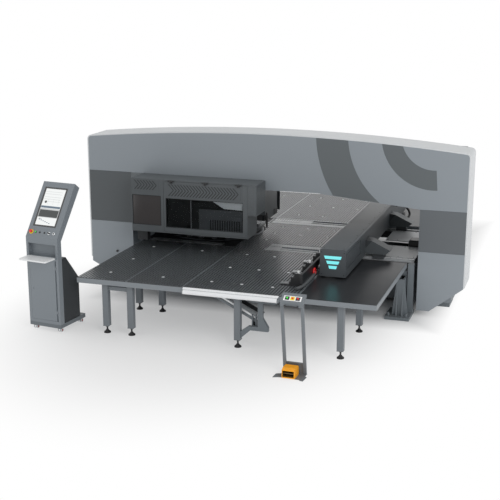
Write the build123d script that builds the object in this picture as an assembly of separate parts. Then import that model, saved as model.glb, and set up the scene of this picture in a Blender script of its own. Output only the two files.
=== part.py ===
"""O-frame turret punch press with its brush tables, sheet-positioning beam, operator console and pedestal.

Millimetres, +Z up, X along the frame, Y along the beam. Every Y below is counted from the machine's
centre plane, which lies at Y = plane_y once the pieces are set in the part's own frame.
"""

import os
from math import atan2, cos, degrees, hypot, pi, radians, sin

from build123d import *

# Lengths that the rest follows
frame_length = 5350.0
table_height = 722.0
table_half_depth = 3015.0
cover_reach = 1035.0
left_column_width = 665.0
right_column_width = 617.0
left_inner = -frame_length / 2 + left_column_width
right_inner = frame_length / 2 - right_column_width

# O-frame and its covers
arch_end_height = 2195.0
arch_rise = 139.0
cover_depth = 516.0
cover_sheet = 4.0
tray_depth = 30.0
wrap_thickness = 16.0
wrap_end_height = 430.0
corner_radius = 60.0
panel_seam = 2.0
floor_gap = 62.0
back_panel_thickness = 12.0
left_band_low = 975.0
left_band_high = 1701.0
right_band_low = 879.0
soffit_height = 1567.0
soffit_right_height = 1440.0
soffit_bend_x = 710.0
left_chamfer_rise = 312.0
left_chamfer_run = 633.0
right_chamfer_rise = 368.0
right_chamfer_run = 469.0
frame_end_gap = 225.0
weldment_half_length = frame_length / 2 - frame_end_gap
weldment_height = 2050.0
plate_thickness = 50.0
web_thickness = 40.0
bed_depth = 132.0
throat_floor = table_height - bed_depth
throat_roof = 1600.0
throat_left = left_inner + 110.0
throat_right = right_inner + 12.0
rear_tray_gap = 10.0
cover_knob = (left_inner - 251.0, 541.0)

# Frame foot that shows under the side table
foot_left = right_inner - 369.0
foot_right = right_inner - 46.0
foot_front = cover_reach + 277.0
foot_back = cover_reach - 155.0
foot_plate = 40.0
gusset_top = throat_floor - 60.0
gusset_top_width = 94.0
gusset_bottom_width = 211.0
rib_thickness = 20.0
foot_post_top = throat_floor + 110.0
anchor_radius = 14.0
anchor_height = 45.0

# Bed that carries the guide rails
bed_right = right_inner - 78.0
bed_rail_y = 842.0
bed_rail_width = 165.0
bed_rail_height = 100.0
bed_cross_width = 100.0
bed_cross_height = 60.0
guide_rail_width = 45.0
guide_rail_height = 27.0
bed_cover_left = bed_right - 580.0
bed_cover_height = 120.0
bed_cover_thickness = 12.0
drive_box_left = bed_right - 208.0
drive_box_height = 80.0
drive_box_half_width = 105.0

# Tables
tray_height = 65.0
tray_sheet = 6.0
brush_height = 7.0
brush_pitch = 114.0
brush_width = 92.0
brush_mat = 3.0
table_left = left_inner + 124.0
table_seam_1 = table_left + 664.0
table_seam_2 = table_seam_1 + 753.0
side_table_right = right_inner - 137.0
brush_right = side_table_right - 961.0
side_table_back = cover_reach + 20.0
side_table_top = 4.0
seam_gap = 1.0
apron = (table_left + 92.0, table_left + 1176.0, 797.0, 921.0)
rib_width = 100.0
ball_x = (table_left + 306.0, table_seam_1 + 362.0, table_seam_2 + 256.0, brush_right - 782.0, brush_right - 388.0)
ball_rows = ((bed_rail_y + 453.0, ball_x[:4]),
             (table_half_depth - 1030.0, ball_x[:1] + ball_x[2:]),
             (table_half_depth - 340.0, ball_x))
ball_centre_x = ball_x[2:]
ball_centre_y = (-415.0, 0.0, 415.0)
ball_cup_radius = 20.0
ball_radius = 13.0
ball_pocket_gap = 3.0
ball_crown = 2.0

# Legs
leg_size = 80.0
leg_wall = 5.0
leg_foot_height = 95.0
outer_row = table_half_depth - 93.0
inner_row = table_half_depth - 1110.0
chute_leg_x = brush_right - 750.0
side_leg_x = side_table_right - 434.0
leg_spots = ((table_left + 353.0, outer_row), (table_seam_1 + 25.0, outer_row), (chute_leg_x, outer_row),
             (side_leg_x, outer_row), (table_left + 345.0, inner_row), (table_seam_1 + 15.0, inner_row),
             (side_leg_x, inner_row))
leg_rail_drop = 60.0
foot_pad_radius = 44.0
foot_pad_rim = 12.0
foot_pad_cone = 40.0
foot_stem_radius = 12.0

# Front roller
roller_left = table_seam_2 + 8.0
roller_right = brush_right - 203.0
roller_radius = 28.0
roller_drop = 50.0
roller_axle_radius = 8.0
roller_fit = 0.05
roller_ear = 14.0

# Part chute under the front table
chute_top = (chute_leg_x - 360.0, table_height - 82.0)
chute_foot = (chute_leg_x + 230.0, table_height - 377.0)
chute_width = 260.0
chute_side = 60.0
chute_wall = 12.0
chute_y = table_half_depth - 145.0
chute_seats = (chute_leg_x + 175.0, chute_leg_x + 220.0)
arm_top = chute_foot[1] - 60.0
arm_low = arm_top - 50.0
arm_left = chute_leg_x + 140.0
arm_right = arm_left + 250.0
arm_half_width = 25.0
arm_head_depth = 60.0

# Turret
turret_x = table_left + 756.0
turret_radius = 717.0
turret_upper_radius = 700.0
turret_lower_top = table_height + 6.0
turret_lower_thickness = 60.0
turret_upper_bottom = table_height + 38.0
turret_upper_thickness = 60.0
turret_shaft_radius = 140.0
turret_flange_radius = 230.0
turret_flange_thickness = 22.0
turret_fit = 0.05
turret_gap = 0.3
station_count = 20
station_circle = 620.0
holder_height = 118.0
holder_radii = (46.0, 32.0)
die_bore_radius = 30.0
turret_cutout_gap = 12.0
bed_left = turret_x + turret_radius + 353.0
guide_rail_left = bed_left + 160.0

# Ram
ram_x = turret_x + station_circle
ram_radius = 45.0
ram_bottom = table_height + 253.0
ram_length = 260.0
ram_fit = 0.05
ram_cap_gap = 60.0
housing_left = ram_x - 190.0
housing_right = ram_x + 235.0
housing_half_depth = 300.0
housing_bottom = ram_bottom - 15.0
housing_taper = 90.0

# Turret guard
guard_left = turret_x - 707.0
guard_right = turret_x + 1092.0
guard_front = cover_reach + 390.0
guard_bottom = table_height + 243.0
guard_step_x = guard_right - 120.0
guard_step_height = guard_bottom + 320.0
guard_wall = 8.0
left_window = (guard_left + 15.0, guard_left + 427.0, guard_bottom + 100.0, left_band_high - 231.0)
door_left = guard_left + 475.0
door_right = guard_step_x - 12.0
door_bottom = guard_bottom + 20.0
door_top = left_band_high - 19.0
door_thickness = 20.0
door_gap = 3.0
door_window = (door_left + 34.0, door_right - 62.0, door_bottom + 66.0, door_top - 236.0)
pane_thickness = 6.0
pane_lap = 12.0
hinge_spots = (door_left + 113.0, door_left + 604.0, door_right - 120.0)
hinge_pin_radius = 5.0
hinge_fit = 0.05
knuckle_radius = 10.0
knuckle_length = 30.0
hinge_rise = 6.0
hinge_reach = 12.5
sensor_box = (guard_left + 2.0, guard_left + 147.0, guard_front - 175.0, guard_front - 275.0,
              guard_bottom - 165.0)

# Beam
beam_left = brush_right + 45.0
beam_right = beam_left + 331.0
beam_bottom = table_height + 23.0
beam_top = beam_bottom + 350.0
beam_half_length = 2093.0
beam_round = 26.0
beam_wall = 8.0
beam_open_height = beam_bottom + 225.0
core_height = 200.0
core_bottom = beam_bottom + 20.0
core_right = beam_right - 96.0
core_wall = 14.0
rail_centre = beam_bottom + 113.0
rail_width = 20.0
rail_depth = 24.0
light_lip = 4.0
light_half_widths = ((113.0, 98.0), (84.0, 70.0), (56.0, 44.0))
light_tops = (beam_top - 85.0, beam_top - 148.0, beam_top - 209.0)
light_height = 40.0
wedge_reach = beam_right + 340.0
wedge_width = 200.0
wedge_bottom = core_bottom + 10.0
wedge_tip_height = 56.0
wedge_top = beam_top - 135.0
block_length = 150.0
block_clearance = 0.3
block_lip = 12.0
side_panel_span = (-beam_half_length + 53.0, -beam_half_length + 833.0)
side_panel_heights = (beam_bottom + 100.0, beam_top - 65.0)
side_panel_thickness = 5.0

# Carriage with its sheet clamps
carriage_centre = beam_half_length - 83.0
carriage_length = 1290.0
carriage_left = beam_left - 100.0
carriage_plate = 32.0
carriage_bottom = beam_bottom + 45.0
carriage_top = rail_centre + 47.0
shoe_length = 120.0
clamp_spots = (carriage_centre - 535.0, carriage_centre - 15.0, carriage_centre + 505.0)
clamp_width = 92.0
clamp_left = carriage_left - 160.0
clamp_top = carriage_top - 25.0
clamp_bottom = table_height + 3.0
jaw_tip = clamp_left - 112.0
jaw_slot_low = table_height + 11.0
jaw_slot_high = jaw_slot_low + 6.0
jaw_thickness = 12.0
jaw_pivot = (clamp_left + 67.0, jaw_slot_low + 49.0)
jaw_pin_radius = 7.0
jaw_fit = 0.05
jaw_side_gap = 0.4
cheek = 14.0
ring_y = carriage_centre + 120.0
ring_height = carriage_bottom + 10.0
ring_radius = 55.0
ring_tube = 11.0
hose_radius = 17.0
hose_path = ((956.0, 2158.0, 780.0), (957.0, 2350.0, 772.0), (950.0, 2520.0, 762.0), (925.0, 2660.0, 748.0),
             (880.0, 2735.0, 742.0))

# Console
console_x = table_left - 175.0
console_y = table_half_depth + 144.0
console_turn = -7.0
console_width = 470.0
console_bottom = 62.0
console_depth = 82.0
console_bend = 1217.0
console_lean = 437.0
console_height = 1842.0
head_back = (528.0, 1776.0)
console_back_bend = 1179.0
plinth_depth = 555.0
plinth_top = 110.0
rear_box_depth = 446.0
rear_box_side = 12.0
rear_box_heights = (954.0, 631.0)
rear_box_shoulder = 181.0
recess_low = 985.0
recess_high = 1140.0
recess_margin = 32.0
recess_depth = 64.0
keyboard_reach = 216.0
keyboard_thickness = 18.0
shelf_margin = 34.0
shelf_pin = (-10.0, 974.0)
shelf_pin_radius = 4.0
console_door = (40.0, 150.0, 940.0)
console_door_thickness = 14.0
door_seam = 2.0
screen_spot = (65.0, 315.0, 165.0, 510.0)
screen_thickness = 8.0
screen_frame = 14.0
button_row = 72.0
estop_u = 60.0
start_u = 127.0
selector_u = 324.0
button_fit = 0.05
caster_inset = 50.0
caster_radius = 27.0
caster_width = 22.0
caster_trail = 14.0
caster_stem = 6.0

# Pedestal
pedestal_x = brush_right + 153.0
pedestal_y = table_half_depth + 660.0
pedestal_turn = -1.5
pedestal_half_spacing = 118.0
post_width = 36.0
post_depth = 24.0
post_lean = 150.0
post_foot_y = 100.0
post_top = 862.0
base_thickness = 6.0
base_outline = ((-206, -90), (-150, -66), (-118, -60), (96, -70), (118, -92), (152, -98), (160, 30), (136, 44),
                (136, 132), (-136, 132), (-136, 60), (-202, 24))
bar_y = 104.0
bar_top = 140.0
pedestal_head_width = 264.0
pedestal_slope = ((-64.0, 893.0), (28.0, 957.0))
pedestal_head_back = 80.0
pedestal_head_bottom = 842.0
pedestal_button_pitch = 62.0
pedestal_button_radius = 15.0
handle_radius = 7.0
handle_half_length = 80.0
handle_reach = 24.0
switch_size = (150.0, 168.0, 112.0)
switch_wall = 8.0
switch_x = -25.0
switch_y = -80.0
pedal_thickness = 12.0
pedal_pin_radius = 5.0

# Where the centre plane lies, so that the whole stands centred over the part's origin
plane_y = 381.0


def block(x0, x1, y0, y1, z0, z1):
    """Box between two corners."""
    size = Box(x1 - x0, y1 - y0, z1 - z0, align=(Align.MIN, Align.MIN, Align.MIN))
    return Pos(x0, y0, z0) * size


def flat(x0, x1, z0, z1):
    """Rectangle between two corners, in sketch coordinates."""
    return Pos((x0 + x1) / 2, (z0 + z1) / 2) * Rectangle(x1 - x0, z1 - z0)


def outline(*points):
    """Face inside a closed polyline, in sketch coordinates."""
    return make_face(Polyline(*points, close=True))


def across(sketch, y0, y1):
    """Extrudes a sketch drawn in X and Z from y0 to y1."""
    plane = Plane(origin=(0, y1, 0), x_dir=(1, 0, 0), z_dir=(0, -1, 0))
    return extrude(plane * sketch, amount=y1 - y0)


def along(sketch, x0, x1):
    """Extrudes a sketch drawn in Y and Z from x0 to x1."""
    plane = Plane(origin=(x0, 0, 0), x_dir=(0, 1, 0), z_dir=(1, 0, 0))
    return extrude(plane * sketch, amount=x1 - x0)


def rod(x, y, z, radius, length, axis="z"):
    """Cylinder that starts at a point and runs along a positive axis."""
    turn = {"x": (0, 90, 0), "y": (-90, 0, 0), "z": (0, 0, 0)}[axis]
    bottom = (Align.CENTER, Align.CENTER, Align.MIN)
    return Location((x, y, z), turn) * Cylinder(radius, length, align=bottom)


def stud(x, y, z, radius, length, axis="z", sides=8):
    """Prism with a regular polygon as its section, for round parts that need few faces."""
    turn = {"x": (0, 90, 0), "y": (-90, 0, 0), "z": (0, 0, 0)}[axis]
    return Location((x, y, z), turn) * extrude(RegularPolygon(radius, sides), amount=length)


def both_sides(shape):
    """A shape and its mirror image across the centre plane."""
    return shape + mirror(shape, about=Plane.XZ)


def arch_sketch(inset):
    """Cover outline down to its panel bottoms, moved inwards by inset."""
    half = frame_length / 2
    side = arch_sketch_side()
    face = make_face(side)
    tops = [v for v in face.vertices() if v.Y > arch_end_height - 1 and abs(v.X) > half - 1]
    face = fillet(tops, corner_radius)
    return offset(face, amount=-inset, kind=Kind.INTERSECTION) if inset else face


def arch_sketch_side():
    """Edges of the cover outline: arched top, straight ends and bottom."""
    half = frame_length / 2
    top = ThreePointArc((-half, arch_end_height), (0, arch_end_height + arch_rise), (half, arch_end_height))
    rest = Polyline((half, arch_end_height), (half, floor_gap), (-half, floor_gap), (-half, arch_end_height))
    return [top, *rest.edges()]


def throat_sketch(grow=0.0):
    """Opening of the covers: below the soffit line and between the columns."""
    left = left_inner - grow
    right = right_inner + grow
    return outline((left, floor_gap - 10), (left, soffit_height + grow), (soffit_bend_x, soffit_height + grow),
                   (right, soffit_right_height + grow), (right, floor_gap - 10))


def tray(outside, inside, front):
    """Folded cover panel: a sheet with a flange all round, open at the back."""
    return across(outside, front, front + tray_depth) - across(inside, front + cover_sheet, front + tray_depth + 1)


def chamfer_cut(side, run, rise, inset):
    """Triangle that cuts a panel's outer bottom corner, grown by inset across its slope."""
    corner = side * frame_length / 2
    slope = hypot(run, rise)
    run, rise = run + inset * slope / rise, rise + inset * slope / run
    return outline((corner + side, floor_gap - 1), (corner + side, floor_gap + rise), (corner, floor_gap + rise),
                   (corner - side * run, floor_gap), (corner - side * run, floor_gap - 1))


def panel_sketches(inset=0.0):
    """Outlines of the front panels, named, with a seam between them, each moved inwards by inset."""
    inner = arch_sketch(wrap_thickness + 0.3 + inset)
    half = frame_length / 2
    seam = panel_seam / 2 + inset
    body = inner - throat_sketch(inset)
    left, right = left_inner, right_inner
    left_beam = flat(-half, left + inset, 0, left_band_high + seam)
    right_beam = flat(right - inset, half, 0, soffit_right_height + inset)
    left_band = flat(-half, left - inset, left_band_low + seam, left_band_high - seam)
    right_band = flat(right + inset, half, right_band_low + seam, soffit_right_height - panel_seam - inset)
    left_low = flat(-half, left - inset, 0, left_band_low - seam)
    right_low = flat(right + inset, half, 0, right_band_low - seam)
    return {
        "front_beam_cover": body - left_beam - right_beam,
        "left_band_cover": body & left_band,
        "right_band_cover": body & right_band,
        "left_lower_cover": (body & left_low) - chamfer_cut(-1, left_chamfer_run, left_chamfer_rise, inset),
        "right_lower_cover": (body & right_low) - chamfer_cut(1, right_chamfer_run, right_chamfer_rise, inset),
    }


def covers():
    """Panels on the front of the O-frame, the wrap along its top and ends, and the panel behind them."""
    front = -cover_reach
    back = -cover_reach + cover_depth - back_panel_thickness
    insides = panel_sketches(cover_sheet)
    pieces = {name: tray(sketch, insides[name], front) for name, sketch in panel_sketches().items()}

    left, right = left_inner, right_inner
    under = outline((left, soffit_height), (soffit_bend_x, soffit_height), (right, soffit_right_height),
                    (right, soffit_right_height + cover_sheet), (soffit_bend_x, soffit_height + cover_sheet),
                    (left, soffit_height + cover_sheet))
    pieces["front_beam_cover"] += across(under, front + cover_sheet, back)
    seam = panel_seam / 2
    for name, x, low, high in (("left_lower_cover", left - cover_sheet, floor_gap, left_band_low - seam),
                               ("left_band_cover", left - cover_sheet, left_band_low + seam, left_band_high - seam),
                               ("right_lower_cover", right, floor_gap, right_band_low - seam),
                               ("right_band_cover", right, right_band_low + seam, soffit_right_height - panel_seam)):
        pieces[name] += block(x, x + cover_sheet, front + cover_sheet, back, low, high)
    knob_x, knob_z = cover_knob
    pieces["left_lower_cover"] += rod(knob_x, front - 16, knob_z, 15, 17, "y")

    wrap = arch_sketch(0) - arch_sketch(wrap_thickness)
    wrap -= flat(-frame_length, frame_length, 0, wrap_end_height)
    pieces["arch_cover"] = across(wrap, front, back)

    rear = arch_sketch(0) - throat_sketch()
    rear -= flat(-frame_length, frame_length, 0, wrap_end_height)
    lower = flat(-weldment_half_length, left, floor_gap, wrap_end_height)
    lower += flat(right, weldment_half_length, floor_gap, wrap_end_height)
    pieces["cover_back_panel"] = across(rear + lower, back, back + back_panel_thickness)
    bands = [pieces.pop("left_band_cover"), pieces.pop("right_band_cover")]
    pieces["band_covers"] = Compound(children=bands)
    return pieces


def frame_weldment():
    """Welded O-frame with hollow beams and columns, and its floor pads."""
    half = cover_reach - cover_depth
    ring = flat(-weldment_half_length, weldment_half_length, floor_gap, weldment_height)
    ring -= flat(throat_left, throat_right, throat_floor, throat_roof)
    hollow = flat(-weldment_half_length + web_thickness, weldment_half_length - web_thickness,
                  floor_gap + web_thickness, weldment_height - web_thickness)
    hollow -= flat(throat_left - web_thickness, throat_right + web_thickness,
                   throat_floor - web_thickness, throat_roof + web_thickness)
    frame = across(ring, -half, half)
    frame -= across(hollow, -half + plate_thickness, half - plate_thickness)
    for x0 in (-weldment_half_length + web_thickness, throat_right + web_thickness):
        pad = block(x0, x0 + 320, half - 370, half, 0, floor_gap)
        frame += both_sides(pad)
    return frame


def outrigger():
    """Foot that stands against the frame's front: base plate, tapered gusset, two ribs, posts and bolts."""
    half = cover_reach - cover_depth
    centre = (foot_left + foot_right) / 2 + 20
    foot = block(foot_left, foot_right, -foot_front, -foot_back, 0, foot_plate)
    taper = outline((centre - gusset_bottom_width / 2, foot_plate), (centre + gusset_bottom_width / 2, foot_plate),
                    (centre + gusset_top_width / 2, gusset_top), (centre - gusset_top_width / 2, gusset_top))
    foot += across(taper, -foot_front + 110, -foot_front + 110 + rib_thickness)
    for x in (centre - gusset_top_width / 2, centre + gusset_top_width / 2 - rib_thickness):
        rib = outline((-foot_front + 60, foot_plate), (-half, foot_plate), (-half, gusset_top),
                      (-foot_front + 120, gusset_top))
        foot += along(rib, x, x + rib_thickness)
    foot += block(centre - gusset_top_width / 2, centre + gusset_top_width / 2, -foot_back - 120, -half - 120,
                  gusset_top - 1, throat_floor)
    foot += block(centre - gusset_top_width / 2, centre + gusset_top_width / 2, -half - 200, -half,
                  foot_plate, foot_plate + 60)
    foot += block(foot_right - 81, foot_right - 1, -cover_reach, -cover_reach + 80, foot_plate, foot_post_top)
    for x in (foot_left + 45, foot_right - 45):
        for y in (-foot_front + 45, -foot_back - 30):
            foot += stud(x, y, foot_plate, anchor_radius, anchor_height, sides=6)
    return foot


def rear_cover():
    """Folded cover on the rear of the O-frame."""
    half = cover_reach - cover_depth
    ring = flat(-weldment_half_length, weldment_half_length, floor_gap, weldment_height)
    ring -= flat(throat_left - rear_tray_gap, throat_right + rear_tray_gap,
                 throat_floor - rear_tray_gap, throat_roof + rear_tray_gap)
    foot_x = (foot_left + foot_right) / 2 + 20
    ring -= flat(foot_x - gusset_top_width / 2 - rear_tray_gap, foot_x + gusset_top_width / 2 + rear_tray_gap,
                 0, gusset_top + rear_tray_gap)
    solid = across(ring, half, half + tray_depth)
    inside = offset(ring, amount=-cover_sheet, kind=Kind.INTERSECTION)
    return solid - across(inside, half - 1, half + tray_depth - cover_sheet)


def bed():
    """Bed frame with its two long beams and cross members, cover plates, drive box and guide rails."""
    top = throat_floor + bed_rail_height
    low = bed_rail_y - bed_rail_width / 2
    frame = both_sides(block(bed_left, bed_right, low, low + bed_rail_width, throat_floor, top))
    for x in (bed_left + 60, brush_right - 160, bed_right - bed_cross_width - 60):
        frame += block(x, x + bed_cross_width, -low - 1, low + 1, throat_floor, throat_floor + bed_cross_height)
    plate_top = throat_floor + bed_cover_height
    cover = block(bed_cover_left, bed_right, drive_box_half_width + 45, low,
                  plate_top - bed_cover_thickness, plate_top)
    cover += block(bed_cover_left, bed_right, low - 20, low, throat_floor + bed_cross_height, plate_top)
    cover += block(bed_right - 150, bed_right - 60, drive_box_half_width + 45, low,
                   throat_floor + bed_cross_height, plate_top)
    drive = block(drive_box_left, bed_right, -drive_box_half_width, drive_box_half_width,
                  throat_floor + bed_cross_height, plate_top + drive_box_height)
    drive = chamfer(drive.edges().group_by(Axis.Z)[-1], 14)
    centre = bed_rail_y
    rail_profile = flat(centre - guide_rail_width / 2, centre + guide_rail_width / 2, top,
                        top + guide_rail_height)
    waist = guide_rail_width * 0.16
    for side in (-1, 1):
        edge = centre + side * guide_rail_width / 2
        rail_profile -= outline((edge, top + 8), (edge, top + 20), (edge - side * waist, top + 14))
    rails = both_sides(along(rail_profile, guide_rail_left, bed_right))
    return {"bed_frame": frame + both_sides(cover) + rails, "drive_box": drive}


def brush_mat_over(x0, x1, y0, y1):
    """Brush mat: a thin base with ridges of bristle along Y, spaced over its width."""
    base = table_height - brush_height
    mat = block(x0, x1, y0, y1, base, base + brush_mat)
    count = int((x1 - x0 - brush_width) // brush_pitch) + 1
    start = (x0 + x1) / 2 - (count - 1) * brush_pitch / 2
    ridges = [block(start + i * brush_pitch - brush_width / 2, start + i * brush_pitch + brush_width / 2,
                    y0, y1, base + brush_mat - 0.5, table_height) for i in range(count)]
    return mat.fuse(*ridges)


def table_tray(x0, x1, y0, y1, rib_rows=()):
    """Table top of folded sheet with a skirt, open below, with a rib across it over each row of legs."""
    top = table_height - brush_height
    shell = block(x0, x1, y0, y1, top - tray_height, top)
    shell -= block(x0 + tray_sheet, x1 - tray_sheet, y0 + tray_sheet, y1 - tray_sheet,
                   top - tray_height - 1, top - tray_sheet)
    for row in rib_rows:
        shell += block(x0 + 1, x1 - 1, row - rib_width / 2, row + rib_width / 2, top - tray_height,
                       top - tray_sheet + 1)
    return shell


def ball_spots():
    """Places of all ball transfers."""
    outer = [(x, side * y) for side in (-1, 1) for y, row in ball_rows for x in row]
    return outer + [(x, y) for y in ball_centre_y for x in ball_centre_x]


def with_pockets(mat):
    """Brush mat with a pocket at each ball transfer on it."""
    box = mat.bounding_box()
    for x, y in ball_spots():
        if box.min.X < x < box.max.X and box.min.Y < y < box.max.Y:
            half = ball_cup_radius + ball_pocket_gap
            mat -= block(x - half, x + half, y - half, y + half, box.min.Z - 1, table_height + 1)
    return mat


def ball_transfers():
    """Cups with their balls, standing on the table tops."""
    base = table_height - brush_height
    rim = base + 4
    one = stud(0, 0, base, ball_cup_radius, rim - base, sides=6)
    ball_height = table_height + ball_crown - rim
    one += Pos(0, 0, rim) * extrude(RegularPolygon(ball_radius, 6), amount=ball_height, taper=30)
    return Compound(children=[Pos(x, y, 0) * one for x, y in ball_spots()])


def tables():
    """Front, centre and rear tables with their brush mats, side tables and ball transfers."""
    low = bed_rail_y - bed_rail_width / 2
    high = bed_rail_y + bed_rail_width / 2
    edges = (table_left, table_seam_1, table_seam_2, brush_right)
    rows = sorted({-y for _, y in leg_spots})
    spans = list(zip(edges[:-1], edges[1:]))
    trays = [table_tray(a, b, -table_half_depth, -high, rows) for a, b in spans]
    mats = [with_pockets(brush_mat_over(a + seam_gap, b - seam_gap, -table_half_depth, -high - seam_gap))
            for a, b in spans]
    rear = mirror(Compound(children=trays), about=Plane.XZ)
    front_roller, ears = roller()
    front = Compound(children=[*trays[:-1], trays[-1] + ears[0] + ears[1]])
    front_brushes = Compound(children=mats)

    top = table_height - brush_height
    hole = rod(turret_x, 0, top - tray_height - 1, turret_radius + turret_cutout_gap, tray_height + brush_height + 2)
    side = table_tray(table_left, bed_left, -high, high)
    middle = table_tray(bed_left, brush_right, -low, low)
    wall = rod(turret_x, 0, top - tray_height, turret_radius + turret_cutout_gap + tray_sheet, tray_height)
    wall &= block(table_left + seam_gap, bed_left, -high, high, 0, top)
    apron_x0, apron_x1, apron_y0, apron_y1 = apron
    plate = block(apron_x0, apron_x1, -apron_y1, -apron_y0, top - 1, table_height)
    centre = side + wall + middle + both_sides(plate) - hole
    left_edge = turret_x + turret_radius + turret_cutout_gap
    inner = brush_mat_over(bed_left, brush_right - seam_gap, -low + seam_gap, low - seam_gap)
    outer = brush_mat_over(left_edge - 120, bed_left - seam_gap, -high + seam_gap, high - seam_gap)
    centre_brushes = Compound(children=[with_pockets(inner - hole), with_pockets(outer - hole)])

    side_top = table_height - 1
    base = block(brush_right, side_table_right, -table_half_depth, -side_table_back,
                 side_top - tray_height, side_top - side_table_top)
    base -= block(brush_right + tray_sheet, side_table_right - tray_sheet,
                  -table_half_depth + tray_sheet, -side_table_back - tray_sheet,
                  side_top - tray_height - 1, side_top - side_table_top - tray_sheet)
    for row in rows:
        base += block(brush_right + seam_gap + 1, side_table_right - 1, row - rib_width / 2, row + rib_width / 2,
                      side_top - tray_height, side_top - side_table_top)
    slab = block(brush_right + seam_gap + 8, side_table_right - 8, -table_half_depth + 8, -side_table_back - 8,
                 side_top - side_table_top, side_top)
    all_brushes = [front_brushes, mirror(front_brushes, about=Plane.XZ), centre_brushes]
    return {
        "tables_front": front,
        "tables_rear": rear,
        "front_roller": front_roller,
        "table_centre": centre,
        "brush_mats": Compound(children=all_brushes),
        "side_tables": both_sides(base + slab),
        "ball_transfers": ball_transfers(),
    }


def legs():
    """Square legs under every table with a cross rail between each close pair, and their levelling feet."""
    top = table_height - brush_height - tray_height
    side_under = table_height - 1 - tray_height
    tubes, pads = [], []
    pad = stud(0, 0, 0, foot_pad_radius, foot_pad_rim)
    cone = RegularPolygon(foot_pad_radius - 4, 6)
    pad += Pos(0, 0, foot_pad_rim) * extrude(cone, amount=foot_pad_cone - foot_pad_rim, taper=40)
    pad += stud(0, 0, foot_pad_rim, foot_stem_radius, leg_foot_height - foot_pad_rim, sides=6)
    for x, y in leg_spots:
        under = side_under if x > brush_right else top
        for side in (-1, 1):
            section = Rectangle(leg_size, leg_size)
            section = chamfer(section.vertices(), 6)
            inner = Rectangle(leg_size - 2 * leg_wall, leg_size - 2 * leg_wall)
            tube = Pos(x, side * y, leg_foot_height) * extrude(section, amount=under - leg_foot_height)
            hollow = Pos(x, side * y, leg_foot_height + leg_wall) * extrude(inner, amount=under)
            tubes.append(tube - hollow)
            pads.append(Pos(x, side * y, 0) * pad)
    for y in sorted({y for _, y in leg_spots}):
        row = sorted(x for x, other in leg_spots if other == y)
        a, b = row[0] + leg_size / 2, row[1] - leg_size / 2
        for side in (-1, 1):
            tubes.append(block(a, b, side * y - 20, side * y + 20, top - leg_rail_drop - 25, top - leg_rail_drop + 25))
    return {"table_legs": Compound(children=tubes), "levelling_feet": Compound(children=pads)}


def roller():
    """Front roller with its axle, and the two ears that carry it on the table's edge."""
    y = -table_half_depth - roller_radius - 4
    z = table_height - roller_drop
    body = rod(roller_left + roller_ear, y, z, roller_radius, roller_right - roller_left - 2 * roller_ear, "x")
    axle = rod(roller_left - 4, y, z, roller_axle_radius, roller_right - roller_left + 8, "x")
    ears = []
    for x in (roller_left, roller_right - roller_ear + 0.6):
        profile = flat(y - 18, -table_half_depth, z - 20, z + 20) + Pos(y, z) * Circle(20)
        ear = along(profile, x, x + roller_ear - 0.6)
        ears.append(ear - rod(x - 1, y, z, roller_axle_radius + roller_fit, roller_ear + 2, "x"))
    return body + axle, ears


def chute():
    """Sloped part chute of extrusion and plate, and the arm that carries it from the front leg."""
    run = chute_foot[0] - chute_top[0]
    drop = chute_foot[1] - chute_top[1]
    length = hypot(run, drop)
    slope = degrees(atan2(drop, run))
    channel = Rectangle(chute_width, chute_side) - Pos(0, chute_wall) * Rectangle(
        chute_width - 2 * chute_wall, chute_side)
    for side in (-1, 1):
        channel -= Pos(side * chute_width / 2, 2) * Rectangle(8, 14)
    trough = extrude(Plane(origin=(0, 0, 0), x_dir=(0, 1, 0), z_dir=(1, 0, 0)) * channel, amount=length)
    trough = Location((chute_top[0], -chute_y + chute_width / 2, chute_top[1]), (0, -slope, 0)) * trough

    leg_x = chute_leg_x + leg_size / 2
    y0, y1 = -outer_row - arm_half_width, -outer_row + arm_half_width
    arm_profile = outline((leg_x, arm_low - 115), (leg_x, arm_top - 75), (arm_left, arm_top), (arm_right, arm_top),
                          (arm_right, arm_low), (arm_left + 25, arm_low))
    arm = across(arm_profile, y0, y1)
    under = table_height - brush_height - tray_height
    upright = block(arm_right - 130, arm_right - 70, y0, y1, arm_top, under - arm_head_depth)
    head = block(arm_left + 30, arm_right + 100, y0, y1, under - arm_head_depth, under)
    curve = outline((arm_right - 70, arm_top), (arm_right, arm_top), (arm_right - 70, arm_top + 115))
    bracket = arm + upright + head + across(curve, y0, y1)
    envelope = Rectangle(chute_width + 1, chute_side)
    filled = extrude(Plane(origin=(0, 0, 0), x_dir=(0, 1, 0), z_dir=(1, 0, 0)) * envelope, amount=length)
    filled = Location((chute_top[0], -chute_y + chute_width / 2, chute_top[1]), (0, -slope, 0)) * filled
    for seat_x in chute_seats:
        bracket += block(seat_x - 6, seat_x + 6, y1 - 1, -chute_y + chute_width - 20, arm_low + 5, arm_top + 135)
    bracket += block(chute_seats[0] - 30, chute_seats[-1] + 30, y1 - 1, -chute_y + chute_width - 20,
                     arm_low + 5, arm_low + 17)
    over = Pos(0, 300) * Rectangle(chute_width + 1, 600)
    above = extrude(Plane(origin=(0, 0, 0), x_dir=(0, 1, 0), z_dir=(1, 0, 0)) * over, amount=length)
    above = Location((chute_top[0], -chute_y + chute_width / 2, chute_top[1]), (0, -slope, 0)) * above
    return {"part_chute": trough, "chute_bracket": bracket - filled - above}


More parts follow.
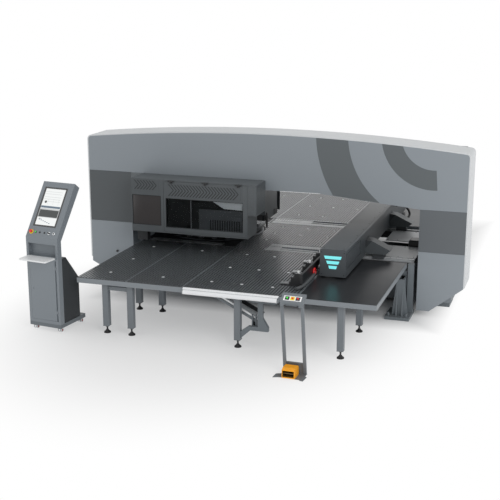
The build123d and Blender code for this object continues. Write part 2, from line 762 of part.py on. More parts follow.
def turret():
    """Lower and upper turret with punch holders, their shafts, the ram and its housing."""
    low_bottom = turret_lower_top - turret_lower_thickness
    bore = turret_shaft_radius + turret_fit
    lower = rod(turret_x, 0, low_bottom, turret_radius, turret_lower_thickness)
    lower = chamfer(lower.edges().group_by(Axis.Z)[-1], 10)
    lower -= rod(turret_x, 0, low_bottom - 1, bore, turret_lower_thickness + 2)
    up_top = turret_upper_bottom + turret_upper_thickness
    upper = rod(turret_x, 0, turret_upper_bottom, turret_upper_radius, turret_upper_thickness)
    upper = chamfer(upper.edges().group_by(Axis.Z)[-1], 12)
    upper -= rod(turret_x, 0, turret_upper_bottom - 1, bore, turret_upper_thickness + 2)
    holders = []
    for i in range(station_count):
        angle = 2 * pi * i / station_count
        x = turret_x + station_circle * cos(angle)
        y = station_circle * sin(angle)
        radius = holder_radii[i % len(holder_radii)]
        lower -= stud(x, y, turret_lower_top - 18, die_bore_radius, 20, sides=6)
        holder = stud(x, y, up_top, radius, holder_height * 0.66)
        holders.append(holder + stud(x, y, up_top, radius * 0.6, holder_height, sides=6))

    lower_shaft = rod(turret_x, 0, throat_floor, turret_flange_radius, low_bottom - turret_gap - throat_floor)
    lower_shaft += rod(turret_x, 0, throat_floor, turret_shaft_radius, turret_lower_top - throat_floor)
    flange = turret_upper_bottom - turret_gap
    upper_shaft = rod(turret_x, 0, flange - turret_flange_thickness, turret_flange_radius, turret_flange_thickness)
    upper_shaft += rod(turret_x, 0, flange - 1, turret_shaft_radius, throat_roof - flange + 1)
    shafts = Compound(children=[lower_shaft, upper_shaft])

    profile = outline((housing_left, throat_roof), (housing_left, housing_bottom + housing_taper),
                      (housing_left + housing_taper, housing_bottom), (housing_right, housing_bottom),
                      (housing_right, throat_roof))
    housing = across(profile, -housing_half_depth, housing_half_depth)
    housing -= rod(ram_x, 0, housing_bottom - 1, ram_radius + ram_fit,
                   ram_bottom + ram_length + ram_cap_gap - housing_bottom + 1)
    housing -= rod(ram_x, 0, housing_bottom - 1, ram_radius + 30, 40)
    ram = rod(ram_x, 0, ram_bottom, ram_radius, ram_length)
    ram = chamfer(ram.edges().group_by(Axis.Z)[0], 6)
    return {"lower_turret": lower, "upper_turret": upper, "punch_holders": Compound(children=holders),
            "turret_shafts": shafts, "ram_housing": housing, "ram": ram}


def guard():
    """Guard box round the turret with its left window, and the top-hinged door with its window."""
    face = outline((guard_left, guard_bottom), (guard_step_x, guard_bottom), (guard_step_x, guard_step_height),
                   (guard_right, guard_step_height), (guard_right, left_band_high), (guard_left, left_band_high))
    shell = across(face, -guard_front, -cover_reach)
    inner = offset(face, amount=-guard_wall, kind=Kind.INTERSECTION)
    inner += flat(guard_left + guard_wall, guard_step_x - guard_wall, guard_bottom - 1, guard_step_height)
    shell -= across(inner, -guard_front + guard_wall, -cover_reach + 1)
    shell -= across(flat(*left_window), -guard_front - 1, -guard_front + guard_wall + 1)
    shell -= across(flat(door_left - door_gap, door_right + door_gap, door_bottom - door_gap, door_top + door_gap),
                    -guard_front - 1, -guard_front + guard_wall + 1)
    shell += block(guard_left, guard_step_x, -guard_front, -guard_front + guard_wall, guard_bottom,
                   guard_bottom + 12)
    x0, x1, y0, y1, z0 = sensor_box
    shell += block(x0, x1, -y0, -y1, z0, guard_bottom + 2)
    shell += block(x0, x1, -guard_front + guard_wall - 1, -y1, guard_bottom, guard_bottom + 8)

    pane = flat(left_window[0] - pane_lap, left_window[1] + pane_lap, left_window[2] - pane_lap,
                left_window[3] + pane_lap)
    pane &= inner
    left_pane = across(pane, -guard_front + guard_wall, -guard_front + guard_wall + pane_thickness)

    leaf = flat(door_left, door_right, door_bottom, door_top) - flat(*door_window)
    leaf = across(leaf, -guard_front, -guard_front + door_thickness)
    glass_y = -guard_front + door_thickness / 2
    seat = flat(door_window[0] - pane_lap, door_window[1] + pane_lap, door_window[2] - pane_lap,
                door_window[3] + pane_lap)
    leaf -= across(seat, glass_y, -guard_front + door_thickness + 1)
    glass = across(seat, glass_y, glass_y + pane_thickness)

    pin_y, pin_z = -guard_front - hinge_reach, door_top + hinge_rise
    for x in hinge_spots:
        pin = rod(x - knuckle_length * 1.5, pin_y, pin_z, hinge_pin_radius, knuckle_length * 3, "x")
        for side in (-1, 1):
            x0 = x + side * knuckle_length - knuckle_length / 2
            pin += stud(x0, pin_y, pin_z, knuckle_radius, knuckle_length, "x")
            pin += block(x0, x0 + knuckle_length, pin_y, -guard_front + 1, pin_z + 2, pin_z + knuckle_radius)
        shell += pin
        wide = knuckle_length / 2 - 1
        ear = stud(x - wide, pin_y, pin_z, knuckle_radius, 2 * wide, "x")
        ear += block(x - wide, x + wide, pin_y - knuckle_radius, pin_y + knuckle_radius, pin_z - 30, pin_z)
        ear += block(x - wide, x + wide, pin_y, -guard_front + 1, pin_z - 30, door_top - 4)
        ear -= rod(x - wide - 1, pin_y, pin_z, hinge_pin_radius + hinge_fit, 2 * wide + 2, "x")
        leaf += ear
    return {"guard_housing": shell, "guard_left_window": left_pane, "guard_door": leaf,
            "guard_door_window": glass}


def beam():
    """Sheet-positioning beam: cover, steel core with rail, lights, side panel and wedge brackets with shoes."""
    profile = flat(beam_left, beam_right, beam_bottom, beam_top)
    profile = fillet([v for v in profile.vertices() if v.Y > beam_top - 1], beam_round)
    inside = flat(beam_left + beam_wall, beam_right - beam_wall, beam_bottom - 1, beam_top - beam_wall)
    inside += flat(beam_left - 1, beam_left + beam_wall + 1, beam_bottom - 1, beam_open_height)
    cover = across(profile, -beam_half_length, beam_half_length)
    cover -= across(inside, -beam_half_length + beam_wall, beam_half_length - beam_wall)
    low = bed_rail_y + bed_rail_width / 2 + 30
    cover -= block(beam_left - 1, beam_right + 1, -low, low, beam_bottom - 1, core_bottom)
    for side in (-1, 1):
        cover -= block(beam_right - beam_wall - 1, beam_right + 1, side * bed_rail_y - wedge_width / 2 - 1,
                       side * bed_rail_y + wedge_width / 2 + 1, core_bottom - 1, wedge_top + 1)
    panel_y0, panel_y1 = side_panel_span
    panel_z0, panel_z1 = side_panel_heights
    slot = block(beam_right - side_panel_thickness, beam_right + 1, panel_y0, panel_y1, panel_z0, panel_z1)
    cover -= slot
    centre = (beam_left + beam_right) / 2
    lights = []
    for top, (upper_half, lower_half) in zip(light_tops, light_half_widths):
        bar = outline((centre - upper_half, top), (centre + upper_half, top),
                      (centre + lower_half, top - light_height), (centre - lower_half, top - light_height))
        cover -= across(bar, -beam_half_length - 1, -beam_half_length + light_lip)
        lights.append(across(bar, -beam_half_length, -beam_half_length + light_lip))
    cover += block(beam_right - beam_wall, beam_right - 1, panel_y0 + 6, panel_y1 - 6, panel_z0 + 6, panel_z1 - 6)

    core_half = beam_half_length - beam_wall
    core = block(beam_left, core_right, -core_half, core_half, core_bottom, core_bottom + core_height)
    core -= block(beam_left + core_wall, core_right - core_wall, -core_half - 1, core_half + 1,
                  core_bottom + core_wall, core_bottom + core_height - core_wall)
    stay = block(centre - 60, centre + 60, -core_half, -core_half + 40, core_bottom + core_height, beam_top - beam_wall)
    core += both_sides(stay)
    rail = block(beam_left - rail_depth, beam_left, -core_half, core_half, rail_centre - rail_width / 2,
                 rail_centre + rail_width / 2)
    shape = outline((core_right, wedge_bottom), (wedge_reach - 70, wedge_bottom),
                    (wedge_reach, wedge_bottom + wedge_tip_height), (beam_right + 88, wedge_top - 11),
                    (beam_right, wedge_top), (core_right, wedge_top))
    wedges = []
    for side in (-1, 1):
        y = side * bed_rail_y
        wedge = across(shape, y - wedge_width / 2, y + wedge_width / 2)
        rail_top = throat_floor + bed_rail_height + guide_rail_height
        x0 = (beam_right + wedge_reach) / 2 - block_length / 2
        for x, top in ((x0, wedge_bottom + 1), (core_right - block_length, core_bottom)):
            wedge += block(x, x + block_length, y - 60, y + 60, rail_top - block_lip, top)
            wedge -= block(x - 1, x + block_length + 1, y - guide_rail_width / 2 - block_clearance,
                           y + guide_rail_width / 2 + block_clearance, rail_top - block_lip - 1,
                           rail_top + block_clearance)
        wedge += block(core_right - block_length, core_right + 40, y - wedge_width / 2, y + wedge_width / 2,
                       core_bottom - 20, core_bottom)
        wedge += block(core_right, core_right + 40, y - wedge_width / 2, y + wedge_width / 2,
                       core_bottom - 20, wedge_bottom + 1)
        wedges.append(wedge)
    return {"beam_cover": cover, "beam_core": core + rail, "beam_lights": Compound(children=lights),
            "beam_brackets": Compound(children=wedges)}


def hose_runs(points):
    """Hose of straight runs between points, each run reaching a little past its corners."""
    runs = []
    for start, end in zip(points[:-1], points[1:]):
        step = (end - start).normalized()
        plane = Plane(origin=start - step * 3, z_dir=step)
        runs.append(extrude(plane * RegularPolygon(hose_radius, 8), amount=(end - start).length + 6))
    return runs[0].fuse(*runs[1:])


def carriage():
    """Carriage bar on the beam's rail, sheet clamps with their jaws, coupling ring and hose."""
    start = -carriage_centre - carriage_length / 2
    end = start + carriage_length
    plate_right = carriage_left + carriage_plate
    bar = block(carriage_left, plate_right, start, end, carriage_bottom, carriage_top)
    bar = chamfer(bar.edges().group_by(Axis.X)[0].filter_by(Axis.Y), 8)
    shoe_left = beam_left - rail_depth - block_clearance
    for y in (end - shoe_length - 40, end - shoe_length - 320):
        shoe = block(plate_right - 1, beam_left - 6, y, y + shoe_length, rail_centre - 34, rail_centre + 34)
        shoe -= block(shoe_left, beam_left + 1, y - 1, y + shoe_length + 1,
                      rail_centre - rail_width / 2 - block_clearance, rail_centre + rail_width / 2 + block_clearance)
        bar += shoe

    bodies, jaws = [], []
    px, pz = jaw_pivot
    for spot in clamp_spots:
        y0, y1 = -spot - clamp_width / 2, -spot + clamp_width / 2
        step = outline((clamp_left, jaw_slot_high + 34), (clamp_left + 22, jaw_slot_high + 34),
                       (clamp_left + 22, clamp_top - 46), (clamp_left + 62, clamp_top - 46),
                       (clamp_left + 62, clamp_top), (carriage_left, clamp_top), (carriage_left, clamp_bottom),
                       (clamp_left, clamp_bottom))
        body = across(step, y0, y1)
        body += block(jaw_tip, clamp_left + 1, y0 + 6, y1 - 6, clamp_bottom, jaw_slot_low)
        slot = outline((clamp_left - 1, jaw_slot_low), (px + 40, jaw_slot_low), (px + 40, pz + 36), (px - 4, pz + 36),
                       (clamp_left - 1, jaw_slot_high + 60))
        body -= across(slot, y0 + cheek, y1 - cheek)
        body += rod(px, y0 + cheek - 1, pz, jaw_pin_radius, clamp_width - 2 * cheek + 2, "y")
        bodies.append(body)
        jaw = outline((jaw_tip, jaw_slot_high), (px + 14, jaw_slot_high), (px + 14, pz), (px + 6, pz + 18),
                      (px - 20, pz + 18), (px - 42, jaw_slot_high + jaw_thickness + 10),
                      (clamp_left - 24, jaw_slot_high + jaw_thickness), (jaw_tip, jaw_slot_high + jaw_thickness - 4))
        grip = across(jaw, y0 + cheek + jaw_side_gap, y1 - cheek - jaw_side_gap)
        grip -= rod(px, y0, pz, jaw_pin_radius + jaw_fit, clamp_width, "y")
        jaws.append(grip)

    washer = RegularPolygon(ring_radius, 12) - RegularPolygon(ring_radius - 2 * ring_tube, 12)
    ring = Location((plate_right, -ring_y, ring_height), (0, 90, 0)) * extrude(washer, amount=2 * ring_tube)
    ring += stud(plate_right, -ring_y, ring_height, 15, 2 * ring_tube, "x")
    ring += block(plate_right, plate_right + 8, -ring_y - 6, -ring_y + 6, ring_height - ring_radius + 6,
                  ring_height + ring_radius - 6)
    hose = hose_runs([Vector(x, -y, z) for x, y, z in hose_path]) - bar - ring
    return {"carriage_bar": bar, "clamp_bodies": Compound(children=bodies), "clamp_jaws": Compound(children=jaws),
            "coupling_ring": ring, "clamp_hose": hose}


def on_console(shape):
    """Puts a shape drawn in the console's own axes in its place."""
    return Location((console_x, -console_y, 0), (0, 0, console_turn)) * shape


def head_plane():
    """Plane on the console's leaning face: origin at the bend on the left side, x to the right, y up the face."""
    rise = console_height - console_bend
    length = hypot(console_lean, rise)
    return Plane(origin=(-console_width, 0, console_bend), x_dir=(1, 0, 0),
                 z_dir=(0, -rise / length, console_lean / length))


def console():
    """Operator console: folded body with a leaning head, screen, keyboard tray, door, rear box, plinth, casters."""
    side = outline((0, plinth_top), (0, console_bend), (console_lean, console_height), head_back,
                   (console_depth, console_back_bend), (console_depth, plinth_top))
    body = along(side, -console_width, 0)
    recess = block(-console_width + recess_margin, -recess_margin, -1, recess_depth, recess_low, recess_high)
    body -= recess
    gap, door_low, door_high = console_door
    well = block(-console_width + gap, -gap + 10, -1, console_door_thickness, door_low, door_high)
    body -= well
    face = head_plane()
    left, wide, low, tall = screen_spot
    rim = Pos(left + wide / 2, low + tall / 2) * Rectangle(wide + 2 * screen_frame, tall + 2 * screen_frame)
    body -= extrude(face * rim, amount=-screen_thickness)
    screen = extrude(face * rim, amount=-screen_thickness)

    buttons = {}
    for name, u, radius in (("console_estop", estop_u, 11.0), ("console_start", start_u, 9.0),
                            ("console_selector", selector_u, 9.0)):
        spot = Pos(u, button_row)
        body -= extrude(face * (spot * Circle(radius + button_fit)), amount=-30)
        stem = extrude(face * (spot * Circle(radius)), amount=-24)
        if name == "console_estop":
            mushroom = face * (spot * Pos(0, 0, 12) * RegularPolygon(20, 12))
            cap = extrude(mushroom, amount=14)
            stem += extrude(face * (spot * Circle(radius)), amount=13) + cap
        elif name == "console_start":
            stem += extrude(face * (spot * Circle(radius)), amount=8)
        else:
            knob = spot * (Circle(15) & Rectangle(30, 12))
            stem += extrude(face * (spot * Circle(radius)), amount=6)
            stem += extrude(face * knob, amount=20) - extrude(face * (spot * Circle(16)), amount=5)
        buttons[name] = stem

    pin_w, pin_z = shelf_pin
    thick = keyboard_thickness / 2
    x0, x1 = -console_width + shelf_margin, -shelf_margin
    shelf = along(flat(-keyboard_reach, pin_w, pin_z - thick, pin_z + thick) + Pos(pin_w, pin_z) * Circle(thick), x0, x1)
    shelf = chamfer(shelf.edges().filter_by(Axis.Z).group_by(Axis.Y)[0], 14)
    for x, lug in ((x0, x0 - 14), (x1 - 16, x1 + 2)):
        shelf -= rod(x - 1, pin_w, pin_z, shelf_pin_radius + hinge_fit, 18, "x")
        body += block(lug, lug + 12, pin_w - 8, 1, pin_z - 10, pin_z + 10)
        body += rod(min(x, lug + 6), pin_w, pin_z, shelf_pin_radius, 22, "x")

    door = block(-console_width + gap + door_seam, -gap + 10 - 22, 0, console_door_thickness - 0.3,
                 door_low + door_seam, door_high - door_seam)
    pin_x, pin_y = -gap + 10 - 11, 7.0
    knuckle = []
    body_knuckles = []
    for z in (door_low + 80, door_high - 140):
        knuckle.append(block(pin_x - 14, pin_x, pin_y - 6, pin_y + 6, z + 22, z + 58)
                       + rod(pin_x, pin_y, z + 22, 6, 36))
        body_knuckles.append(rod(pin_x, pin_y, z, 3, 80) + block(pin_x - 1, pin_x + 11, pin_y - 5, pin_y + 7, z, z + 20)
                             + block(pin_x - 1, pin_x + 11, pin_y - 5, pin_y + 7, z + 60, z + 80))
    for piece in knuckle:
        door += piece
    door += rod(-console_width + gap + 34, -7, (door_low + door_high) / 2, 9, 8, "y")
    for z in (door_low + 80, door_high - 140):
        door -= rod(pin_x, pin_y, z - 1, 3 + hinge_fit, 82)
        door -= block(pin_x - 12, pin_x + 12, -1, 14, z - 1, z + 21) + block(pin_x - 12, pin_x + 12, -1, 14, z + 59, z + 81)
    for piece in body_knuckles:
        body += piece

    box = outline((console_depth, plinth_top), (console_depth, rear_box_heights[0]),
                  (rear_box_shoulder, rear_box_heights[0]), (rear_box_depth, rear_box_heights[1]),
                  (rear_box_depth, plinth_top))
    rear = along(box, -console_width + rear_box_side, -rear_box_side)
    plinth = block(-console_width, 0, 0, plinth_depth, console_bottom, plinth_top)
    plinth = chamfer(plinth.edges().filter_by(Axis.Z).group_by(Axis.Y)[-1], 10)
    casters = {}
    for i, (u, w) in enumerate(caster_spots(), 1):
        axle_z = caster_radius
        top = console_bottom - block_clearance
        socket = rod(u, w, console_bottom - 1, caster_stem + button_fit, 30)
        plinth -= socket
        fork = stud(u, w, top - 4, 20, 4) + rod(u, w, top - 1, caster_stem, 24)
        cheeks = []
        for sign in (-1, 1):
            x0 = u + sign * (caster_width / 2 + 3.5) - 1.5
            profile = outline((w - 10, top - 3), (w + 14, top - 3), (w + caster_trail + 8, axle_z - 6),
                              (w + caster_trail - 8, axle_z - 6))
            cheeks.append(along(profile, x0, x0 + 3))
        fork = fork + cheeks[0] + cheeks[1]
        fork += stud(u - caster_width / 2 - 5, w + caster_trail, axle_z, 4, caster_width + 10, "x")
        wheel = stud(u - caster_width / 2, w + caster_trail, axle_z, caster_radius, caster_width, "x", 12)
        casters[f"caster_{i}"] = fork + wheel
    pieces = {"console_body": body, "console_screen": screen, "console_tray": shelf, "console_door": door,
              "console_base": rear + plinth, **buttons, **casters}
    return {name: on_console(shape) for name, shape in pieces.items()}


def caster_spots():
    """Swivel axes of the casters in the console's own axes."""
    u0, u1 = -console_width + caster_inset, -caster_inset
    w0, w1 = caster_inset, plinth_depth - caster_inset - caster_trail
    return ((u0, w0), (u1, w0), (u1, w1), (u0, w1))


def pedestal_face():
    """Plane on the pedestal head's sloped face: origin at its centre, x to the right, y up the slope."""
    low_y, low_z = pedestal_slope[0]
    high_y, high_z = pedestal_slope[1]
    length = hypot(high_y - low_y, high_z - low_z)
    return Plane(origin=(0, (low_y + high_y) / 2, (low_z + high_z) / 2), x_dir=(1, 0, 0),
                 z_dir=(0, -(high_z - low_z) / length, (high_y - low_y) / length))


def pedestal():
    """Start and stop pedestal: base with flared feet, two leaning posts, head, handle, buttons, foot switch."""
    half = pedestal_half_spacing
    base = extrude(outline(*base_outline), amount=base_thickness)
    base += block(-half, half, bar_y, bar_y + 8, base_thickness - 1, bar_top)
    base += block(-half, half, bar_y - 14, bar_y + 8, bar_top - 8, bar_top)
    posts = []
    for side in (-1, 1):
        x0 = side * half - post_width / 2
        slope = outline((post_foot_y, base_thickness - 1), (post_foot_y + post_depth, base_thickness - 1),
                        (post_foot_y - post_lean + post_depth, post_top), (post_foot_y - post_lean, post_top))
        posts.append(along(slope, x0, x0 + post_width))
    frame = base + posts[0] + posts[1]

    head_profile = outline((pedestal_slope[0][0], pedestal_head_bottom), pedestal_slope[0], pedestal_slope[1],
                           (pedestal_head_back, pedestal_slope[1][1]), (pedestal_head_back, pedestal_slope[1][1] - 30),
                           (post_foot_y - post_lean + post_depth + 8, post_top), (pedestal_slope[0][0] + 12, post_top),
                           (pedestal_slope[0][0] + 12, pedestal_head_bottom))
    head = along(head_profile, -pedestal_head_width / 2, pedestal_head_width / 2)
    face = pedestal_face()
    buttons = {}
    for i, name in enumerate(("pedestal_start", "pedestal_stop", "pedestal_reset")):
        spot = Pos((i - 1) * pedestal_button_pitch, 0)
        radius = pedestal_button_radius
        head -= extrude(face * (spot * Circle(9 + button_fit)), amount=-30)
        button = extrude(face * (spot * Circle(9)), amount=-22) + extrude(face * (spot * Circle(9)), amount=7)
        cap = extrude(face * (spot * Pos(0, 0, 6.4) * RegularPolygon(radius, 12)), amount=11.6)
        buttons[name] = button + cap

    front = pedestal_slope[0][0]
    grip_y = front - handle_reach
    grip_z = pedestal_head_bottom + 10
    handle = stud(-handle_half_length, grip_y, grip_z, handle_radius, 2 * handle_half_length, "x")
    for side in (-1, 1):
        handle += block(side * (handle_half_length - 6) - 6, side * (handle_half_length - 6) + 6,
                        grip_y, front + 1, grip_z - 6, grip_z + 6)
    head += handle

    wide, deep, tall = switch_size
    x0, y0, z0 = switch_x - wide / 2, switch_y, base_thickness
    profile = outline((y0, z0), (y0 + deep, z0), (y0 + deep, z0 + tall - 22), (y0 + deep - 22, z0 + tall),
                      (y0 + 40, z0 + tall), (y0, z0 + tall - 16))
    hood = along(profile, x0, x0 + wide)
    hood -= block(x0 + switch_wall, x0 + wide - switch_wall, y0 - 1, y0 + deep - 30, z0 + 12, z0 + tall - 26)
    pin_y, pin_z = y0 + deep - 52, z0 + 32
    hood += rod(x0 + 1, pin_y, pin_z, pedal_pin_radius, wide - 2, "x")
    tread = outline((y0 + 26, z0 + 42), (pin_y, pin_z - 10), (pin_y + 12, pin_z - 6), (pin_y + 12, pin_z + 10),
                    (y0 + 26, z0 + 42 + pedal_thickness))
    pedal = along(tread, x0 + switch_wall + 2, x0 + wide - switch_wall - 2)
    pedal -= rod(x0, pin_y, pin_z, pedal_pin_radius + hinge_fit, wide, "x")
    pieces = {"pedestal_frame": frame, "pedestal_head": head, **buttons, "foot_switch": hood, "foot_pedal": pedal}
    return {name: Location((pedestal_x, -pedestal_y, 0), (0, 0, pedestal_turn)) * shape
            for name, shape in pieces.items()}


def everything():
    """All pieces by name, each as plain solids in the part's own frame."""
    pieces = {"frame_weldment": frame_weldment(), "outriggers": both_sides(outrigger()), "rear_cover": rear_cover()}
    for group in (covers, bed, tables, legs, chute, turret, guard, beam, carriage, console, pedestal):
        pieces.update(group())
    return {name: placed(shape) for name, shape in pieces.items()}


def placed(shape):
    """The solids of a shape, moved from the centre plane's axes to the part's frame."""
    solids = [Pos(0, plane_y, 0) * solid for solid in shape.solids()]
    return solids[0] if len(solids) == 1 else Compound(solids)


if __name__ == "__main__":
    os.makedirs("parts", exist_ok=True)
    for name, shape in everything().items():
        export_step(shape, f"parts/{name}.step")
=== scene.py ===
"""Looks of an O-frame turret punch press, its brush tables, beam, console and pedestal, on its CAD frame.

Sizes are machine millimetres with Y counted from the machine's centre plane, as in the part's source. A
Shell gathers surfaces in them, and piece() puts the finished mesh into Blender in metres.
"""

import logging
import math
from dataclasses import dataclass, field
from enum import Enum
from typing import Callable, Sequence

import bmesh
import bpy
import numpy as np
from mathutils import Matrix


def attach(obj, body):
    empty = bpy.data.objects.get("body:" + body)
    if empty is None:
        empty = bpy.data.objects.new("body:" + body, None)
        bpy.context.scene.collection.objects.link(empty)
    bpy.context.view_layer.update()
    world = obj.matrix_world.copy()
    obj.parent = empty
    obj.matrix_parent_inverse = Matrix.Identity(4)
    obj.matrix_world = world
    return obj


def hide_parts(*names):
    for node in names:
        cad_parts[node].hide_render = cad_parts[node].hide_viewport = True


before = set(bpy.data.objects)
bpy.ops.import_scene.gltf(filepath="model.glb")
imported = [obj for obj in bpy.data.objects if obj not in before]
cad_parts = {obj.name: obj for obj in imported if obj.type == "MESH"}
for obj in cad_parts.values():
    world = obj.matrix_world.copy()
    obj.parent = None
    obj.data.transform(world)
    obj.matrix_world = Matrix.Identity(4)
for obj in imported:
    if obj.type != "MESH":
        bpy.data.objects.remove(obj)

Array = np.ndarray
Faces = list[np.ndarray]
CENTRE_PLANE = 381.0
MM = 0.001
log = logging.getLogger("punch_press")


def signed_volume(points: Array, faces: Faces) -> float:
    """Volume inside closed faces, each cut into a fan of triangles: the sum of a·(b×c)/6.

    Args:
        points: Corner points, one row each.
        faces: Arrays of corner numbers, one array for each number of corners.

    Returns:
        The volume, below nought where the faces point inwards.
    """
    middle = points.mean(0)
    total = 0.0
    for group in faces:
        a = points[group[:, 0]] - middle
        for k in range(1, group.shape[1] - 1):
            b, c = points[group[:, k]] - middle, points[group[:, k + 1]] - middle
            total += float(np.einsum("ij,ij->i", a, np.cross(b, c)).sum()) / 6
    return total


def grid_faces(rows: int, cols: int, wrap_rows: bool = False, wrap_cols: bool = False) -> Array:
    """Four-cornered faces of a grid numbered row by row: (i, j), (i, j+1), (i+1, j+1), (i+1, j)."""
    i, j = np.meshgrid(np.arange(rows if wrap_rows else rows - 1),
                       np.arange(cols if wrap_cols else cols - 1), indexing="ij")
    right, down = (j + 1) % cols, (i + 1) % rows
    return np.stack([i * cols + j, i * cols + right, down * cols + right, down * cols + j], -1).reshape(-1, 4)


def unit(vectors: Array) -> Array:
    """Vectors at length one."""
    return vectors / np.linalg.norm(vectors, axis=-1, keepdims=True)


@dataclass(frozen=True)
class Placement:
    """Axes of a sub-assembly: its origin in machine millimetres and its three axes."""

    origin: tuple[float, float, float] = (0.0, 0.0, 0.0)
    x_axis: tuple[float, float, float] = (1.0, 0.0, 0.0)
    y_axis: tuple[float, float, float] = (0.0, 1.0, 0.0)
    z_axis: tuple[float, float, float] = (0.0, 0.0, 1.0)

    @classmethod
    def turned(cls, x: float, y: float, degrees: float) -> "Placement":
        """Axes standing at (x, y), turned about the vertical."""
        c, s = math.cos(math.radians(degrees)), math.sin(math.radians(degrees))
        return cls((x, y, 0.0), (c, s, 0.0), (-s, c, 0.0))

    def axes(self) -> Array:
        """The three axes as rows."""
        return np.array([self.x_axis, self.y_axis, self.z_axis])

    def out(self, points: Array) -> Array:
        """Points given in these axes, in machine millimetres: origin + a·x + b·y + c·z."""
        return np.asarray(self.origin) + np.asarray(points, float) @ self.axes()

    def local(self, points: Array) -> Array:
        """Points given in machine millimetres, in these axes."""
        return (np.asarray(points, float) - np.asarray(self.origin)) @ self.axes().T

    def then(self, inner: "Placement") -> "Placement":
        """The placement of axes that are themselves given in these axes."""
        turned = inner.axes() @ self.axes()
        return Placement(tuple(self.out(np.array(inner.origin))), *[tuple(row) for row in turned])


@dataclass
class Shell:
    """Mesh under way: corner points, faces and the finish number of each face."""

    place: Placement = Placement()
    points: list[Array] = field(default_factory=list)
    faces: list[tuple[Array, int]] = field(default_factory=list)
    count: int = 0

    def add(self, surface: tuple[Array, Faces], tone: int = 0) -> "Shell":
        """Takes in one closed surface and turns its faces outwards.

        Args:
            surface: Points in this shell's own axes, and their faces.
            tone: Number of the finish that the surface has.

        Returns:
            The shell itself, for further calls.
        """
        points, faces = surface
        if signed_volume(points, faces) < 0:
            faces = [group[:, ::-1] for group in faces]
        self.points.append(self.place.out(points))
        self.faces += [(group + self.count, tone) for group in faces]
        self.count += len(points)
        return self

    def repeat(self, surface: tuple[Array, Faces], spots: Array, tone: int = 0) -> "Shell":
        """Takes in a copy of a closed surface at every spot.

        Args:
            surface: Points about nought, and their faces.
            spots: One row for each copy's place.
            tone: Number of the finish.

        Returns:
            The shell itself.
        """
        spots = np.atleast_2d(np.asarray(spots, float))
        points, faces = surface
        if signed_volume(points, faces) < 0:
            faces = [group[:, ::-1] for group in faces]
        every = (spots[:, None, :] + points[None, :, :]).reshape(-1, 3)
        shift = (np.arange(len(spots)) * len(points))[:, None, None]
        self.points.append(self.place.out(every))
        self.faces += [((group[None] + shift).reshape(-1, group.shape[1]) + self.count, tone)
                       for group in faces]
        self.count += len(every)
        return self


def cut_box_topology() -> tuple[Array, Array, Array]:
    """Corner signs, four-cornered and three-cornered faces of a box with cut edges.

    Point 3c+k belongs to corner c and lies on the side across axis k; the other two axes are moved inwards.
    """
    signs = np.array([[x, y, z] for x in (-1, 1) for y in (-1, 1) for z in (-1, 1)], float)

    def number(bits: dict[int, int], k: int) -> int:
        return (4 * bits[0] + 2 * bits[1] + bits[2]) * 3 + k

    quads, tris = [], [[3 * c, 3 * c + 1, 3 * c + 2] for c in range(8)]
    for k in range(3):
        a, b = (k + 1) % 3, (k + 2) % 3
        for side in (0, 1):
            quads.append([number({k: side, a: p, b: q}, k) for p, q in ((0, 0), (1, 0), (1, 1), (0, 1))])
        for p, q in ((0, 0), (0, 1), (1, 0), (1, 1)):
            low, high = {k: 0, a: p, b: q}, {k: 1, a: p, b: q}
            quads.append([number(low, a), number(low, b), number(high, b), number(high, a)])
    trial = np.repeat(signs, 3, 0) * np.where(np.eye(3)[np.arange(24) % 3] > 0, 1.0, 0.7)

    def outward(face: list[int]) -> list[int]:
        p = trial[face]
        normal = np.cross(p[1] - p[0], p[2] - p[1])
        return face if normal @ p.mean(0) > 0 else face[::-1]

    return signs, np.array([outward(f) for f in quads]), np.array([outward(f) for f in tris])


BOX_SIGNS, BOX_QUADS, BOX_TRIS = cut_box_topology()


def box(x0: float, x1: float, y0: float, y1: float, z0: float, z1: float,
        cut: float = 1.0) -> tuple[Array, Faces]:
    """Box between two corners with its edges cut at 45 degrees."""
    low, high = np.array([x0, y0, z0], float), np.array([x1, y1, z1], float)
    half = (high - low) / 2
    cut = min(cut, 0.45 * float(half.min()) * 2)
    inner = np.where(np.eye(3)[np.arange(24) % 3] > 0, half, half - cut)
    return (low + high) / 2 + np.repeat(BOX_SIGNS, 3, 0) * inner, [BOX_QUADS, BOX_TRIS]


def lathe(profile: Sequence[tuple[float, float]], origin: Sequence[float] = (0, 0, 0), axis: str = "z",
          sides: int = 32, loop: bool = False) -> tuple[Array, Faces]:
    """Surface of revolution: at turn t the profile's (r, h) goes to origin + r(cos t·u + sin t·v) + h·w.

    Args:
        profile: Radius and height pairs; a radius of nought at an end closes it with a pole.
        origin: Where height nought of the axis lies.
        axis: Letter of the axis w.
        sides: Number of steps round.
        loop: True where the profile closes on itself, as on a ring.

    Returns:
        Points and faces.
    """
    w = np.roll(np.array([1.0, 0, 0]), "xyz".index(axis))
    u, v = np.roll(w, 1), np.roll(w, 2)
    shape = np.asarray(profile, float)
    ring = shape[shape[:, 0] > 1e-6]
    t = np.arange(sides) * 2 * math.pi / sides
    spoke = np.cos(t)[:, None] * u + np.sin(t)[:, None] * v
    points = ring[:, 0, None, None] * spoke + ring[:, 1, None, None] * w
    points = points.reshape(-1, 3) + np.asarray(origin, float)
    faces = [grid_faces(len(ring), sides, wrap_rows=loop, wrap_cols=True)]
    for end, row in ((0, 0), (-1, len(ring) - 1)):
        if loop:
            break
        rim = row * sides + np.arange(sides)
        if shape[end, 0] <= 1e-6:
            points = np.vstack([points, np.asarray(origin, float) + shape[end, 1] * w])
            fan = np.stack([rim, np.roll(rim, -1), np.full(sides, len(points) - 1)], -1)
            faces.append(fan if end else fan[:, ::-1])
        else:
            faces.append(rim[None, :] if end else rim[None, ::-1])
    faces[0] = faces[0][:, ::-1] if end_is_reversed(points, faces) else faces[0]
    return points, faces


